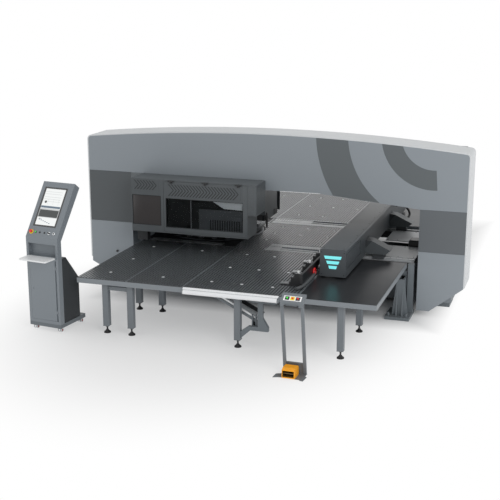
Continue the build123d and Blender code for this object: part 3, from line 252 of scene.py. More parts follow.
def end_is_reversed(points: Array, faces: Faces) -> bool:
    """True where a lathe's side faces run against its end faces along their shared edge."""
    if len(faces) < 2:
        return False
    side = {(int(a), int(b)) for face in faces[0] for a, b in zip(face, np.roll(face, -1))}
    first = faces[1][0]
    return (int(first[0]), int(first[1])) in side


def tube(path: Array, radius: float | Array, sides: int = 12, up: Sequence[float] = (0, 0, 1),
         loop: bool = False) -> tuple[Array, Faces]:
    """Tube along a path: circle p + r(cos t·side + sin t·top), the side across both run and up.

    Args:
        path: Points that the tube follows.
        radius: One radius, or one for each point.
        sides: Number of steps round.
        up: A direction that the path never runs along.
        loop: True where the path closes on itself.

    Returns:
        Points and faces, with flat ends where it doesn't close.
    """
    path = np.asarray(path, float)
    run = np.roll(path, -1, 0) - np.roll(path, 1, 0) if loop else np.gradient(path, axis=0)
    run = unit(run)
    side = unit(np.cross(run, np.asarray(up, float)))
    top = np.cross(side, run)
    t = np.arange(sides) * 2 * math.pi / sides
    reach = np.broadcast_to(np.asarray(radius, float), (len(path),))[:, None, None]
    points = path[:, None] + reach * (np.cos(t)[None, :, None] * side[:, None]
                                      + np.sin(t)[None, :, None] * top[:, None])
    faces = [grid_faces(len(path), sides, wrap_rows=loop, wrap_cols=True)]
    if not loop:
        rim = np.arange(sides)
        faces += [rim[None, ::-1], (rim + (len(path) - 1) * sides)[None, :]]
    return points.reshape(-1, 3), faces


def prism(outline: Sequence[tuple[float, float]], low: float, high: float,
          axis: str = "y") -> tuple[Array, Faces]:
    """Flat outline carried from low to high along an axis; it is drawn in the other two, in their order."""
    shape = np.asarray(outline, float)
    k = "xyz".index(axis)
    ends = [np.insert(shape, k, level, 1) for level in (low, high)]
    n = len(shape)
    i = np.arange(n)
    j = (i + 1) % n
    return np.vstack(ends), [np.stack([i, j, j + n, i + n], -1), i[None, ::-1], (i + n)[None, :]]


def slab(grid: Array, thickness: Sequence[float]) -> tuple[Array, Faces]:
    """Sheet of a rows × columns grid of points, given a thickness by moving a copy and closing the rim."""
    rows, cols = grid.shape[:2]
    front = grid.reshape(-1, 3)
    back = front + np.asarray(thickness, float)
    n = len(front)
    number = np.arange(n).reshape(rows, cols)
    edge = np.concatenate([number[0, :-1], number[:-1, -1], number[-1, :0:-1], number[:0:-1, 0]])
    step = np.roll(edge, -1)
    quads = grid_faces(rows, cols)
    rim = np.stack([step, edge, edge + n, step + n], -1)
    return np.vstack([front, back]), [quads, quads[:, ::-1] + n, rim]


def ring_profile(radius: float, tube_radius: float, height: float = 0.0,
                 steps: int = 8) -> list[tuple[float, float]]:
    """Round cross-section of a ring, for a lathe loop."""
    t = np.arange(steps) * 2 * math.pi / steps
    return list(zip(radius + tube_radius * np.cos(t), height + tube_radius * np.sin(t)))


def rounded_outline(x0: float, x1: float, z0: float, z1: float, radius: float, steps: int = 5) -> Array:
    """Rectangle with round corners, each a quarter circle in the given number of steps."""
    corners = ((x1 - radius, z1 - radius, 0), (x0 + radius, z1 - radius, 90),
               (x0 + radius, z0 + radius, 180), (x1 - radius, z0 + radius, 270))
    rows = []
    for cx, cz, start in corners:
        t = np.radians(np.linspace(0, 90, steps)) + math.radians(start)
        rows.append(np.stack([cx + radius * np.cos(t), cz + radius * np.sin(t)], -1))
    return np.vstack(rows)


def smooth_route(knots: Sequence[Sequence[float]], count: int, window: int) -> Array:
    """Straight runs through knots, rounded by the mean of each point's neighbours.

    Args:
        knots: Points that the route follows.
        count: Number of points on the route.
        window: Odd number of neighbours in each mean.

    Returns:
        Points of the route, one row each.
    """
    steps = np.linspace(0, len(knots) - 1, count)
    route = [np.interp(steps, np.arange(len(knots)), row) for row in np.asarray(knots, float).T]
    kernel, reach = np.ones(window) / window, window // 2
    return np.stack([np.convolve(np.pad(row, reach, mode="edge"), kernel, "valid") for row in route], -1)


def hex_head(across: float, height: float, axis: str = "z", sign: float = 1.0) -> tuple[Array, Faces]:
    """Hexagon bolt head on a washer, standing from nought along an axis."""
    profile = [(across * 0.75, 0.0), (across * 0.75, height * 0.2), (across * 0.5, height * 0.2),
               (across * 0.5, height * 0.85), (across * 0.42, height), (0.0, height)]
    return lathe([(r, sign * h) for r, h in profile], axis=axis, sides=6)


def button_head(radius: float, height: float, axis: str = "z", sign: float = 1.0) -> tuple[Array, Faces]:
    """Low round screw head with a dished socket."""
    profile = [(radius, 0.0), (radius * 0.96, height * 0.55), (radius * 0.62, height), (radius * 0.4, height),
               (radius * 0.34, height * 0.45), (0.0, height * 0.45)]
    return lathe([(r, sign * h) for r, h in profile], axis=axis, sides=12)


class Surface(Enum):
    """Kinds of surface that a finish can have."""

    PAINT = "paint"
    METAL = "metal"
    CAST = "cast"
    PLASTIC = "plastic"
    RUBBER = "rubber"
    GLASS = "glass"
    GLOW = "glow"


def linear(colour: tuple[int, int, int]) -> tuple[float, float, float, float]:
    """An sRGB colour from 0 to 255 as Blender's linear one."""
    value = np.array(colour) / 255.0
    value = np.where(value <= 0.04045, value / 12.92, ((value + 0.055) / 1.055) ** 2.4)
    return (*[float(v) for v in value], 1.0)


class Groups:
    """Shader groups that the finishes share, each built once."""

    @staticmethod
    def start(name: str, sockets: Sequence[tuple[str, str, str]]) -> tuple[bpy.types.NodeTree, bool]:
        """A group by name with its sockets.

        Args:
            name: The group's name.
            sockets: Name, INPUT or OUTPUT, and kind of each socket.

        Returns:
            The group, and True where it is new and still empty.
        """
        found = bpy.data.node_groups.get(name)
        if found:
            return found, False
        tree = bpy.data.node_groups.new(name, "ShaderNodeTree")
        for label, side, kind in sockets:
            tree.interface.new_socket(label, in_out=side, socket_type=f"NodeSocket{kind}")
        return tree, True

    @staticmethod
    def math(tree: bpy.types.NodeTree, operation: str, *values: object, clamp: bool = False) -> object:
        """Output of a Math node fed by sockets or numbers."""
        node = tree.nodes.new("ShaderNodeMath")
        node.operation = operation
        node.use_clamp = clamp
        for socket, value in zip(node.inputs, values):
            if isinstance(value, (int, float)):
                socket.default_value = value
            else:
                tree.links.new(value, socket)
        return node.outputs[0]

    @classmethod
    def mottle(cls) -> bpy.types.NodeTree:
        """Cloudy, finely grained tone and gloss: value = 1 + spread·(2(cloud−½) + (grain−½))."""
        tree, new = cls.start("mottle", [("Vector", "INPUT", "Vector"), ("Colour", "INPUT", "Color"),
                                         ("Grain", "INPUT", "Float"), ("Cloud", "INPUT", "Float"),
                                         ("Spread", "INPUT", "Float"), ("Roughness", "INPUT", "Float"),
                                         ("Rough Spread", "INPUT", "Float"), ("Colour", "OUTPUT", "Color"),
                                         ("Roughness", "OUTPUT", "Float"), ("Height", "OUTPUT", "Float")])
        if not new:
            return tree
        given, made = tree.nodes.new("NodeGroupInput"), tree.nodes.new("NodeGroupOutput")
        grain, cloud = tree.nodes.new("ShaderNodeTexNoise"), tree.nodes.new("ShaderNodeTexNoise")
        grain.inputs["Detail"].default_value = 2.0
        cloud.inputs["Detail"].default_value = 4.0
        for node, scale in ((grain, "Grain"), (cloud, "Cloud")):
            tree.links.new(given.outputs["Vector"], node.inputs["Vector"])
            tree.links.new(given.outputs[scale], node.inputs["Scale"])
        low = cls.math(tree, "MULTIPLY_ADD", cloud.outputs["Fac"], 2.0, -1.0)
        fine = cls.math(tree, "SUBTRACT", grain.outputs["Fac"], 0.5)
        both = cls.math(tree, "ADD", low, fine)
        value = cls.math(tree, "MULTIPLY_ADD", both, given.outputs["Spread"], 1.0)
        tone = tree.nodes.new("ShaderNodeHueSaturation")
        tree.links.new(given.outputs["Colour"], tone.inputs["Color"])
        tree.links.new(value, tone.inputs["Value"])
        rough = cls.math(tree, "MULTIPLY_ADD", both, given.outputs["Rough Spread"],
                         given.outputs["Roughness"], clamp=True)
        tree.links.new(tone.outputs["Color"], made.inputs["Colour"])
        tree.links.new(rough, made.inputs["Roughness"])
        tree.links.new(grain.outputs["Fac"], made.inputs["Height"])
        return tree

    @classmethod
    def edge_wear_and_highlight(cls) -> bpy.types.NodeTree:
        """Pale colour along edges, partly bare metal rubbed through and partly a painted edge highlight: mask
        = amount·noise·(1 − n·m), m the rounded edge's normal.
        """
        tree, new = cls.start("edge_wear_and_highlight", [("Vector", "INPUT", "Vector"), ("Colour", "INPUT", "Color"),
                                            ("Pale Edge", "INPUT", "Color"), ("Amount", "INPUT", "Float"),
                                            ("Radius", "INPUT", "Float"), ("Colour", "OUTPUT", "Color")])
        if not new:
            return tree
        given, made = tree.nodes.new("NodeGroupInput"), tree.nodes.new("NodeGroupOutput")
        rounded, plain = tree.nodes.new("ShaderNodeBevel"), tree.nodes.new("ShaderNodeNewGeometry")
        rounded.samples = 4
        tree.links.new(given.outputs["Radius"], rounded.inputs["Radius"])
        dot = tree.nodes.new("ShaderNodeVectorMath")
        dot.operation = "DOT_PRODUCT"
        tree.links.new(rounded.outputs["Normal"], dot.inputs[0])
        tree.links.new(plain.outputs["Normal"], dot.inputs[1])
        patch = tree.nodes.new("ShaderNodeTexNoise")
        patch.inputs["Scale"].default_value = 34.0
        patch.inputs["Detail"].default_value = 5.0
        tree.links.new(given.outputs["Vector"], patch.inputs["Vector"])
        bent = cls.math(tree, "SUBTRACT", 1.0, dot.outputs["Value"])
        strong = cls.math(tree, "MULTIPLY", bent, given.outputs["Amount"])
        mask = cls.math(tree, "MULTIPLY", strong, patch.outputs["Fac"], clamp=True)
        mix = tree.nodes.new("ShaderNodeMix")
        mix.data_type = "RGBA"
        tree.links.new(mask, mix.inputs["Factor"])
        tree.links.new(given.outputs["Colour"], mix.inputs[6])
        tree.links.new(given.outputs["Pale Edge"], mix.inputs[7])
        tree.links.new(mix.outputs[2], made.inputs["Colour"])
        return tree

    @classmethod
    def settled_dust(cls) -> bpy.types.NodeTree:
        """Pale, dull dust on what faces up: mask = amount·noise·max(n·up, 0)²."""
        tree, new = cls.start("settled_dust", [("Vector", "INPUT", "Vector"), ("Colour", "INPUT", "Color"),
                                               ("Roughness", "INPUT", "Float"), ("Amount", "INPUT", "Float"),
                                               ("Colour", "OUTPUT", "Color"),
                                               ("Roughness", "OUTPUT", "Float")])
        if not new:
            return tree
        given, made = tree.nodes.new("NodeGroupInput"), tree.nodes.new("NodeGroupOutput")
        plain, split = tree.nodes.new("ShaderNodeNewGeometry"), tree.nodes.new("ShaderNodeSeparateXYZ")
        tree.links.new(plain.outputs["Normal"], split.inputs[0])
        up = cls.math(tree, "MAXIMUM", split.outputs["Z"], 0.0)
        patch = tree.nodes.new("ShaderNodeTexNoise")
        patch.inputs["Scale"].default_value = 3.5
        patch.inputs["Detail"].default_value = 6.0
        tree.links.new(given.outputs["Vector"], patch.inputs["Vector"])
        some = cls.math(tree, "MULTIPLY", cls.math(tree, "POWER", up, 2.0), patch.outputs["Fac"])
        mask = cls.math(tree, "MULTIPLY", some, given.outputs["Amount"], clamp=True)
        mix = tree.nodes.new("ShaderNodeMix")
        mix.data_type = "RGBA"
        mix.inputs[7].default_value = (0.55, 0.54, 0.51, 1.0)
        tree.links.new(mask, mix.inputs["Factor"])
        tree.links.new(given.outputs["Colour"], mix.inputs[6])
        rough = cls.math(tree, "MULTIPLY_ADD", mask, 0.5, given.outputs["Roughness"], clamp=True)
        tree.links.new(mix.outputs[2], made.inputs["Colour"])
        tree.links.new(rough, made.inputs["Roughness"])
        return tree


@dataclass(frozen=True)
class Finish:
    """One finish: its colour and surface, and how both vary.

    Attributes:
        name: Name of the material.
        slot: Name of a material slot; not used.
        colour: sRGB colour from 0 to 255.
        surface: Kind of surface.
        rough: Middle roughness.
        spread: How far the colour's value strays either way.
        grain: Fine noise in cycles a metre.
        bump: Depth of the grain in metres.
        wear_and_highlight: How strongly edges are lightened, partly rubbed bare and partly a painted edge
            highlight.
        dust: How much dust lies on what faces up.
        coat: Weight of a clear coat.
        stretch: Scale of the pattern on each axis.
        glow: Strength of its own light.
        clear: Transmission weight of glass.
        shine: Specular level; a half is the plain one.
        ior: Index of refraction.
    """

    name: str
    slot: str
    colour: tuple[int, int, int]
    surface: Surface = Surface.PAINT
    rough: float = 0.42
    spread: float = 0.03
    grain: float = 420.0
    bump: float = 0.00006
    wear_and_highlight: float = 0.0
    dust: float = 0.0
    coat: float = 0.0
    stretch: tuple[float, float, float] = (1.0, 1.0, 1.0)
    glow: float = 0.0
    clear: float = 0.0
    shine: float = 0.5
    ior: float = 1.5

    def material(self) -> bpy.types.Material:
        """The finish as a Blender material, built at its first use."""
        found = bpy.data.materials.get(f"{self.name}_finish")
        if found:
            return found
        made = bpy.data.materials.new(f"{self.name}_finish")
        made.use_nodes = True
        tree = made.node_tree
        shader = tree.nodes["Principled BSDF"]
        coords, turn = tree.nodes.new("ShaderNodeTexCoord"), tree.nodes.new("ShaderNodeMapping")
        turn.inputs["Scale"].default_value = self.stretch
        tree.links.new(coords.outputs["Object"], turn.inputs["Vector"])
        mottle = self.grouped(tree, Groups.mottle(), turn.outputs["Vector"])
        for label, value in (("Colour", linear(self.colour)), ("Grain", self.grain), ("Cloud", 2.3),
                             ("Spread", self.spread), ("Roughness", self.rough),
                             ("Rough Spread", 0.05 if self.surface is not Surface.GLASS else 0.01)):
            mottle.inputs[label].default_value = value
        colour, rough = mottle.outputs["Colour"], mottle.outputs["Roughness"]
        # Pale edges: partly rubbed-through wear, partly a painted edge highlight.
        if self.wear_and_highlight:
            worn_and_highlit = self.grouped(tree, Groups.edge_wear_and_highlight(), coords.outputs["Object"])
            worn_and_highlit.inputs["Pale Edge"].default_value = linear((176, 178, 180))
            worn_and_highlit.inputs["Amount"].default_value = self.wear_and_highlight
            worn_and_highlit.inputs["Radius"].default_value = 0.003
            tree.links.new(colour, worn_and_highlit.inputs["Colour"])
            colour = worn_and_highlit.outputs["Colour"]
        if self.dust:
            dusty = self.grouped(tree, Groups.settled_dust(), coords.outputs["Object"])
            dusty.inputs["Amount"].default_value = self.dust
            tree.links.new(colour, dusty.inputs["Colour"])
            tree.links.new(rough, dusty.inputs["Roughness"])
            colour, rough = dusty.outputs["Colour"], dusty.outputs["Roughness"]
        tree.links.new(rough, shader.inputs["Roughness"])
        bump = tree.nodes.new("ShaderNodeBump")
        bump.inputs["Distance"].default_value = self.bump
        bump.inputs["Strength"].default_value = 1.0
        tree.links.new(mottle.outputs["Height"], bump.inputs["Height"])
        tree.links.new(bump.outputs["Normal"], shader.inputs["Normal"])
        if self.surface is Surface.GLOW:
            shader.inputs["Base Color"].default_value = linear((30, 34, 36))
            shader.inputs["Emission Strength"].default_value = self.glow
            tree.links.new(colour, shader.inputs["Emission Color"])
        else:
            tree.links.new(colour, shader.inputs["Base Color"])
        metallic = self.surface in (Surface.METAL, Surface.CAST)
        shader.inputs["Metallic"].default_value = 1.0 if metallic else 0.0
        shader.inputs["Coat Weight"].default_value = self.coat
        shader.inputs["Coat Roughness"].default_value = 0.12
        shader.inputs["Transmission Weight"].default_value = self.clear
        shader.inputs["IOR"].default_value = self.ior
        shine = 0.3 if self.surface is Surface.RUBBER else self.shine
        shader.inputs["Specular IOR Level"].default_value = shine
        return made

    @staticmethod
    def grouped(tree: bpy.types.NodeTree, group: bpy.types.NodeTree, vector: object) -> bpy.types.Node:
        """A group placed in a material and fed with coordinates."""
        node = tree.nodes.new("ShaderNodeGroup")
        node.node_tree = group
        tree.links.new(vector, node.inputs["Vector"])
        return node


class Finishes:
    """Every finish of the machine."""

    cover_grey = Finish("cover_grey", "cover_grey", (138, 145, 151), rough=0.44, spread=0.02, dust=0.05)
    cover_band = Finish("cover_band", "cover_dark", (78, 83, 86), rough=0.44, spread=0.025)
    # The band paint again, painted lighter on the right half where more light falls: painted light.
    cover_band_painted_lit = Finish("cover_band_painted_lit", "cover_dark", (94, 99, 103), rough=0.44, spread=0.025)
    cover_stripe = Finish("cover_stripe", "cover_dark", (92, 98, 101), rough=0.42, spread=0.02)
    cover_pale = Finish("cover_pale", "cover_pale", (208, 211, 213), rough=0.4, spread=0.012, dust=0.06)
    frame_grey = Finish("frame_grey", "frame_grey", (104, 111, 116), rough=0.5, wear_and_highlight=1.2, dust=0.15)
    guard_grey = Finish("guard_grey", "guard_grey", (80, 85, 88), rough=0.4, spread=0.03, dust=0.06)
    # Guard grey painted lighter for the light that the ribs catch: painted light.
    guard_rib_painted_lit = Finish("guard_rib_painted_lit", "guard_grey", (96, 101, 104), rough=0.42, spread=0.03)
    # Guard grey painted dark; on the perforated strips it is painted shade in the slots.
    grille_slot = Finish("grille_slot", "guard_grey", (38, 41, 43), rough=0.6)
    smoked_glass = Finish("smoked_glass", "glass_dark", (206, 209, 211), Surface.GLASS, rough=0.03,
                          spread=0.01, bump=0.0, clear=1.0, ior=1.05)
    brown_glass = Finish("brown_glass", "glass_dark", (74, 71, 71), Surface.GLASS, rough=0.12, spread=0.04,
                         bump=0.0, clear=0.1)
    # Painted shade of the guard's interior behind the door's window.
    shield_painted_shade = Finish("shield_painted_shade", "guard_grey", (30, 32, 32), rough=0.6, spread=0.1, shine=0.2)
    shield_grey = Finish("shield_grey", "guard_grey", (74, 76, 78), rough=0.5, spread=0.06, shine=0.3)
    shield_line = Finish("shield_line", "guard_grey", (124, 126, 128), rough=0.5, spread=0.06, shine=0.3)
    shield_pale = Finish("shield_pale", "guard_grey", (204, 206, 207), rough=0.4, spread=0.06)
    bristle = Finish("bristle", "brush", (94, 99, 102), Surface.PLASTIC, rough=0.24, spread=0.07, grain=900.0,
                     bump=0.00006, shine=1.0, ior=1.75)
    brush_base = Finish("brush_base", "brush", (26, 28, 30), rough=0.6, spread=0.06, shine=0.25)
    # Pale plain paint for the steel rails, the metal slats and the channel floor: a painted sheen for the
    # metal's bright reflection, and painted light on the shaded channel floor.
    guide_strip_painted_sheen = Finish("guide_strip_painted_sheen", "table_paint", (176, 179, 181), rough=0.3, spread=0.04, dust=0.04)
    table_paint = Finish("table_paint", "table_paint", (128, 134, 139), rough=0.42, wear_and_highlight=1.0, dust=0.05)
    slab_black = Finish("slab_black", "table_paint", (38, 40, 43), rough=0.3, spread=0.05, dust=0.02,
                        shine=0.22)
    leg_paint = Finish("leg_paint", "table_paint", (112, 118, 123), rough=0.45, wear_and_highlight=0.8)
    steel = Finish("steel", "steel", (186, 188, 190), Surface.METAL, rough=0.3, spread=0.05, grain=160.0,
                   bump=0.00003, stretch=(1.0, 14.0, 14.0))
    bright_sheet = Finish("bright_sheet", "steel", (200, 202, 204), Surface.METAL, rough=0.36, spread=0.05,
                          grain=120.0, bump=0.00003, stretch=(0.4, 6.0, 6.0))
    chrome = Finish("chrome", "chrome", (222, 224, 226), Surface.METAL, rough=0.1, spread=0.01, bump=0.0)
    black_metal = Finish("black_metal", "black_parts", (26, 27, 29), rough=0.38, spread=0.08, wear_and_highlight=1.5)
    black_plastic = Finish("black_plastic", "black_parts", (22, 22, 24), Surface.PLASTIC, rough=0.45)
    beam_paint = Finish("beam_paint", "beam_paint", (76, 81, 85), rough=0.4, spread=0.03, dust=0.05)
    beam_dark = Finish("beam_dark", "beam_paint", (56, 60, 63), rough=0.45)
    cyan_light = Finish("cyan_light", "light_cyan", (126, 236, 240), Surface.GLOW, rough=0.3, spread=0.01,
                        bump=0.0, glow=1.0)
    rubber = Finish("rubber", "rubber", (28, 28, 29), Surface.RUBBER, rough=0.7, spread=0.08, grain=700.0)
    hose_grey = Finish("hose_grey", "black_parts", (84, 87, 89), Surface.RUBBER, rough=0.55, spread=0.06)
    red = Finish("red_plastic", "red", (236, 28, 30), Surface.PLASTIC, rough=0.3, spread=0.03, coat=0.3)
    yellow = Finish("yellow_plastic", "black_parts", (255, 226, 12), Surface.PLASTIC, rough=0.35)
    green = Finish("green_plastic", "green", (52, 240, 62), Surface.PLASTIC, rough=0.3, coat=0.3)
    orange = Finish("orange_plastic", "orange", (255, 170, 10), Surface.PLASTIC, rough=0.42, spread=0.04)
    # Orange darkened to brown for the shade inside the foot switch's hood: painted shade.
    pedal_well_painted_shade = Finish("pedal_well_painted_shade", "orange", (104, 78, 34), Surface.PLASTIC, rough=0.5, spread=0.08)
    white_roller = Finish("roller_white", "aluminium", (236, 238, 240), rough=0.28, spread=0.015, coat=0.3)
    cast = Finish("cast_iron", "cast", (92, 95, 98), Surface.CAST, rough=0.42, spread=0.1, grain=180.0,
                  bump=0.0002)
    black_oxide = Finish("black_oxide", "cast", (40, 42, 44), Surface.CAST, rough=0.4, spread=0.12)
    screen_glass = Finish("screen_glass", "screen", (26, 28, 30), Surface.PLASTIC, rough=0.12, coat=0.6)
    screen_white = Finish("screen_white", "screen", (238, 240, 239), Surface.GLOW, spread=0.01,
                          bump=0.0, glow=1.0)
    screen_line = Finish("screen_line", "screen", (196, 198, 198), Surface.GLOW, spread=0.01,
                         bump=0.0, glow=1.0)
    screen_dark = Finish("screen_dark", "screen", (58, 60, 58), Surface.GLOW, spread=0.03, bump=0.0, glow=1.0)
    screen_blue = Finish("screen_blue", "screen", (92, 108, 124), Surface.GLOW, spread=0.02,
                         bump=0.0, glow=1.0)
    white_plate = Finish("white_plate", "cover_pale", (240, 241, 241), rough=0.4, spread=0.01)
    console_grey = Finish("console_grey", "frame_grey", (126, 133, 139), rough=0.42, spread=0.02, wear_and_highlight=0.5)
    console_dark = Finish("console_dark", "black_parts", (50, 54, 57), rough=0.46, spread=0.04)
    plate_grey = Finish("plate_grey", "steel", (168, 171, 173), rough=0.36, spread=0.04)
    trough_pale = Finish("trough_pale", "aluminium", (232, 234, 235), rough=0.3, spread=0.02)
    wheel_grey = Finish("wheel_grey", "chrome", (206, 208, 210), Surface.PLASTIC, rough=0.3, spread=0.04)
    hub_red = Finish("hub_red", "red", (150, 44, 40), Surface.PLASTIC, rough=0.4, spread=0.05)
    shelf_pale = Finish("shelf_pale", "aluminium", (236, 238, 239), rough=0.36, spread=0.02)


def piece(name: str, body: str, finishes: Finish | Sequence[Finish], shell: Shell, bevel: float = 0.0,
          soft_angle: float = 38.0) -> bpy.types.Object:
    """Puts a finished shell into the scene, in metres, parented to an empty named after a CAD body.

    Args:
        name: Name of the piece.
        body: Name of the CAD body after which its parent empty is named.
        finishes: Its finish, or several in the order of the shell's tones.
        shell: Its surfaces in machine millimetres.
        bevel: Width in millimetres by which a Bevel modifier rounds its edges, or nought.
        soft_angle: Edges flatter than this many degrees are shaded smooth.

    Returns:
        The Blender object.
    """
    finishes = [finishes] if isinstance(finishes, Finish) else list(finishes)
    points = (np.vstack(shell.points) + (0, CENTRE_PLANE, 0)) * MM
    corners = np.concatenate([group.ravel() for group, _ in shell.faces]).astype(np.int32)
    sizes = np.concatenate([np.full(len(group), group.shape[1]) for group, _ in shell.faces])
    starts = np.concatenate([[0], np.cumsum(sizes)[:-1]]).astype(np.int32)
    tones = np.concatenate([np.full(len(group), tone) for group, tone in shell.faces]).astype(np.int32)
    mesh = bpy.data.meshes.new(name)
    mesh.vertices.add(len(points))
    mesh.vertices.foreach_set("co", points.astype(np.float32).ravel())
    mesh.loops.add(len(corners))
    mesh.loops.foreach_set("vertex_index", corners)
    mesh.polygons.add(len(starts))
    mesh.polygons.foreach_set("loop_start", starts)
    mesh.update(calc_edges=True)
    mesh.validate()
    for finish in finishes:
        mesh.materials.append(finish.material())
    if len(mesh.polygons) == len(tones):
        mesh.polygons.foreach_set("material_index", tones)
    mesh.shade_smooth()
    mesh.set_sharp_from_angle(angle=math.radians(soft_angle))
    made = bpy.data.objects.new(name, mesh)
    bpy.context.scene.collection.objects.link(made)
    if bevel:
        edge = made.modifiers.new("edge_round", "BEVEL")
        edge.width = bevel * MM
        edge.segments = 2
        edge.limit_method = "ANGLE"
        edge.angle_limit = math.radians(40)
        edge.harden_normals = True
    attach(made, body)
    log.info("%s rides on %s, %d faces", name, body, len(mesh.polygons))
    return made


def dress(node: str, finish: Finish, *zones: tuple[Finish, Callable[[Array], Array]],
          place: Placement = Placement()) -> None:
    """Gives a CAD node its finish, and other finishes to the zones of it that a test picks out.

    Args:
        node: Name of the CAD node.
        finish: The finish of the whole.
        zones: A finish and a test each, which takes face centres and says which are in the zone.
        place: The axes in which the tests are written.
    """
    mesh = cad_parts[node].data
    mesh.materials.clear()
    for each in (finish, *[zone[0] for zone in zones]):
        mesh.materials.append(each.material())
    tones = np.zeros(len(mesh.polygons), np.int32)
    if zones:
        centres = np.zeros(len(mesh.polygons) * 3, np.float32)
        mesh.polygons.foreach_get("center", centres)
        centres = place.local(centres.reshape(-1, 3).astype(float) / MM - (0, CENTRE_PLANE, 0))
        for number, (_, test) in enumerate(zones, 1):
            tones[test(centres)] = number
    mesh.polygons.foreach_set("material_index", tones)
    mesh.update()
    log.info("%s dressed in %s", node, finish.name)


@dataclass
class Covers:
    """Covers of the O-frame: front panels, pale wrap, panel behind, rear cover and the welded frame."""

    half: float = 2675.0
    front: float = -1035.0
    arch_end: float = 2195.0
    arch_top: float = 2334.0
    wrap: float = 18.0
    soffit: float = 1567.0
    soffit_bend: float = 710.0
    soffit_right: float = 1440.0
    column_right: float = 2058.0
    corner: float = 60.0
    ring_centre: tuple[float, float] = (2215.0, 2390.0)
    rings: tuple[tuple[float, float], ...] = ((430.0, 690.0), (1130.0, 1560.0))
    rear: float = 549.0

    def arch(self, x: Array) -> Array:
        """Height of the arched top: the circle through both ends and the crown."""
        rise = self.arch_top - self.arch_end
        radius = self.half**2 / (2 * rise) + rise / 2
        return self.arch_top - radius + np.sqrt(radius**2 - np.square(x))

    def on_beam_cover(self, x: Array, z: Array) -> Array:
        """True where a point lies on the upper front panel, inside the wrap and above the soffit line."""
        slope = (self.soffit - self.soffit_right) / (self.column_right - self.soffit_bend)
        bottom = np.where(x < self.soffit_bend, self.soffit, self.soffit - slope * (x - self.soffit_bend))
        bottom = np.where(x > self.column_right, self.soffit_right, bottom) + 2
        inside = (z > bottom) & (z < self.arch(x) - self.wrap) & (np.abs(x) < self.half - self.wrap)
        cx, cz = self.half - self.corner, self.arch_end - self.corner
        in_corner = (x > cx) & (z > cz)
        return inside & ~(in_corner & (np.hypot(x - cx, z - cz) > self.corner - self.wrap))

    def bands(self) -> None:
        """Concentric bands of dark film on the upper panel, clipped along each ray, and a patch below."""
        cx, cz = self.ring_centre
        turn = np.radians(np.linspace(178.0, 275.0, 3000))
        reach = np.linspace(0.0, 1.0, 600)
        shell = Shell()
        for inner, outer in self.rings:
            radius = inner + (outer - inner) * reach
            x = cx + radius[None, :] * np.cos(turn)[:, None]
            z = cz + radius[None, :] * np.sin(turn)[:, None]
            held = self.on_beam_cover(x, z)
            rows = np.flatnonzero(held.sum(1) > 3)
            first = held[rows].argmax(1)
            last = held.shape[1] - 1 - held[rows, ::-1].argmax(1)
            rows, first, last = rows[::12], first[::12], last[::12]
            ends = radius[np.stack([first, last], -1)]
            grid = np.zeros((len(rows), 2, 3))
            grid[..., 0] = cx + ends * np.cos(turn[rows])[:, None]
            grid[..., 1] = self.front - 0.9
            grid[..., 2] = cz + ends * np.sin(turn[rows])[:, None]
            shell.add(slab(grid, (0, 0.8, 0)))
        shell.add(box(-2008, -1600, self.front - 0.9, self.front - 0.1, self.soffit + 2, 1700, 0.1))
        piece("cover_bands", "machine", Finishes.cover_stripe, shell, soft_angle=60)

    def rear_panels(self) -> None:
        """Raised service panels on the rear cover, with screws, latches and louvres."""
        low = self.rear - 1
        spans = [(-2405, -1965, 120, 960), (-2405, -1965, 1000, 2000), (2120, 2405, 120, 960),
                 (2120, 2405, 1000, 2000)]
        spans += [(x, x + 900, 1645, 2000) for x in (-1880, -940, 0, 940)]
        spans += [(x, x + 900, 110, 545) for x in (-1880, -940, 0)]
        panels, screws, slats = Shell(), Shell(), Shell()
        head = button_head(9, 4, "y")
        for x0, x1, z0, z1 in spans:
            outline = rounded_outline(x0, x1, z0, z1, 14)
            panels.add(prism(outline, low, low + 4))
            xs = np.linspace(x0 + 24, x1 - 24, 4 if x1 - x0 > 500 else 2)
            zs = np.linspace(z0 + 24, z1 - 24, 3)
            spots = [(x, low + 4, z) for x in xs for z in (zs[0], zs[-1])]
            screws.repeat(head, spots + [(x, low + 4, zs[1]) for x in (xs[0], xs[-1])])
        fin = [(low + 3, 0.0), (low + 13, -4.0), (low + 14, -2.5), (low + 5, 12.0), (low + 3, 12.0)]
        for x0, x1, z0 in ((-2330, -2040, 1620), (-2330, -2040, 260), (2160, 2365, 1620), (2160, 2365, 260)):
            slats.repeat(prism(fin, x0, x1, "x"), [(0, 0, z0 + 22 * i) for i in range(11)])
        piece("rear_panels", "machine", Finishes.cover_grey, panels, bevel=0.8)
        piece("rear_screws", "machine", Finishes.steel, screws)
        piece("rear_louvres", "machine", Finishes.frame_grey, slats)
        locks = Shell()
        for x, z in ((-1990, 560), (-1990, 1500), (2380, 560), (2380, 1500)):
            locks.add(lathe([(15, 0), (15, 7), (12, 9), (0, 9)], (x, low + 3, z), "y", 20))
            locks.add(box(x - 2, x + 2, low + 11, low + 13, z - 9, z + 9, 0.5))
        piece("rear_locks", "machine", Finishes.black_metal, locks)

    def build(self) -> None:
        """Dresses the covers and adds what they carry."""
        knob = (Finishes.black_plastic, lambda p: p[:, 1] < self.front - 1)
        dress("front_beam_cover", Finishes.cover_grey)
        # The right half of the bands takes the lighter copy of their paint: painted light.
        dress("band_covers", Finishes.cover_band_painted_lit, (Finishes.cover_band, lambda p: p[:, 0] < 0))
        dress("left_lower_cover", Finishes.cover_grey, knob)
        dress("right_lower_cover", Finishes.cover_grey)
        dress("arch_cover", Finishes.cover_pale)
        dress("cover_back_panel", Finishes.cover_grey)
        dress("rear_cover", Finishes.cover_grey)
        dress("frame_weldment", Finishes.frame_grey)
        dress("outriggers", Finishes.frame_grey)
        self.bands()
        self.rear_panels()


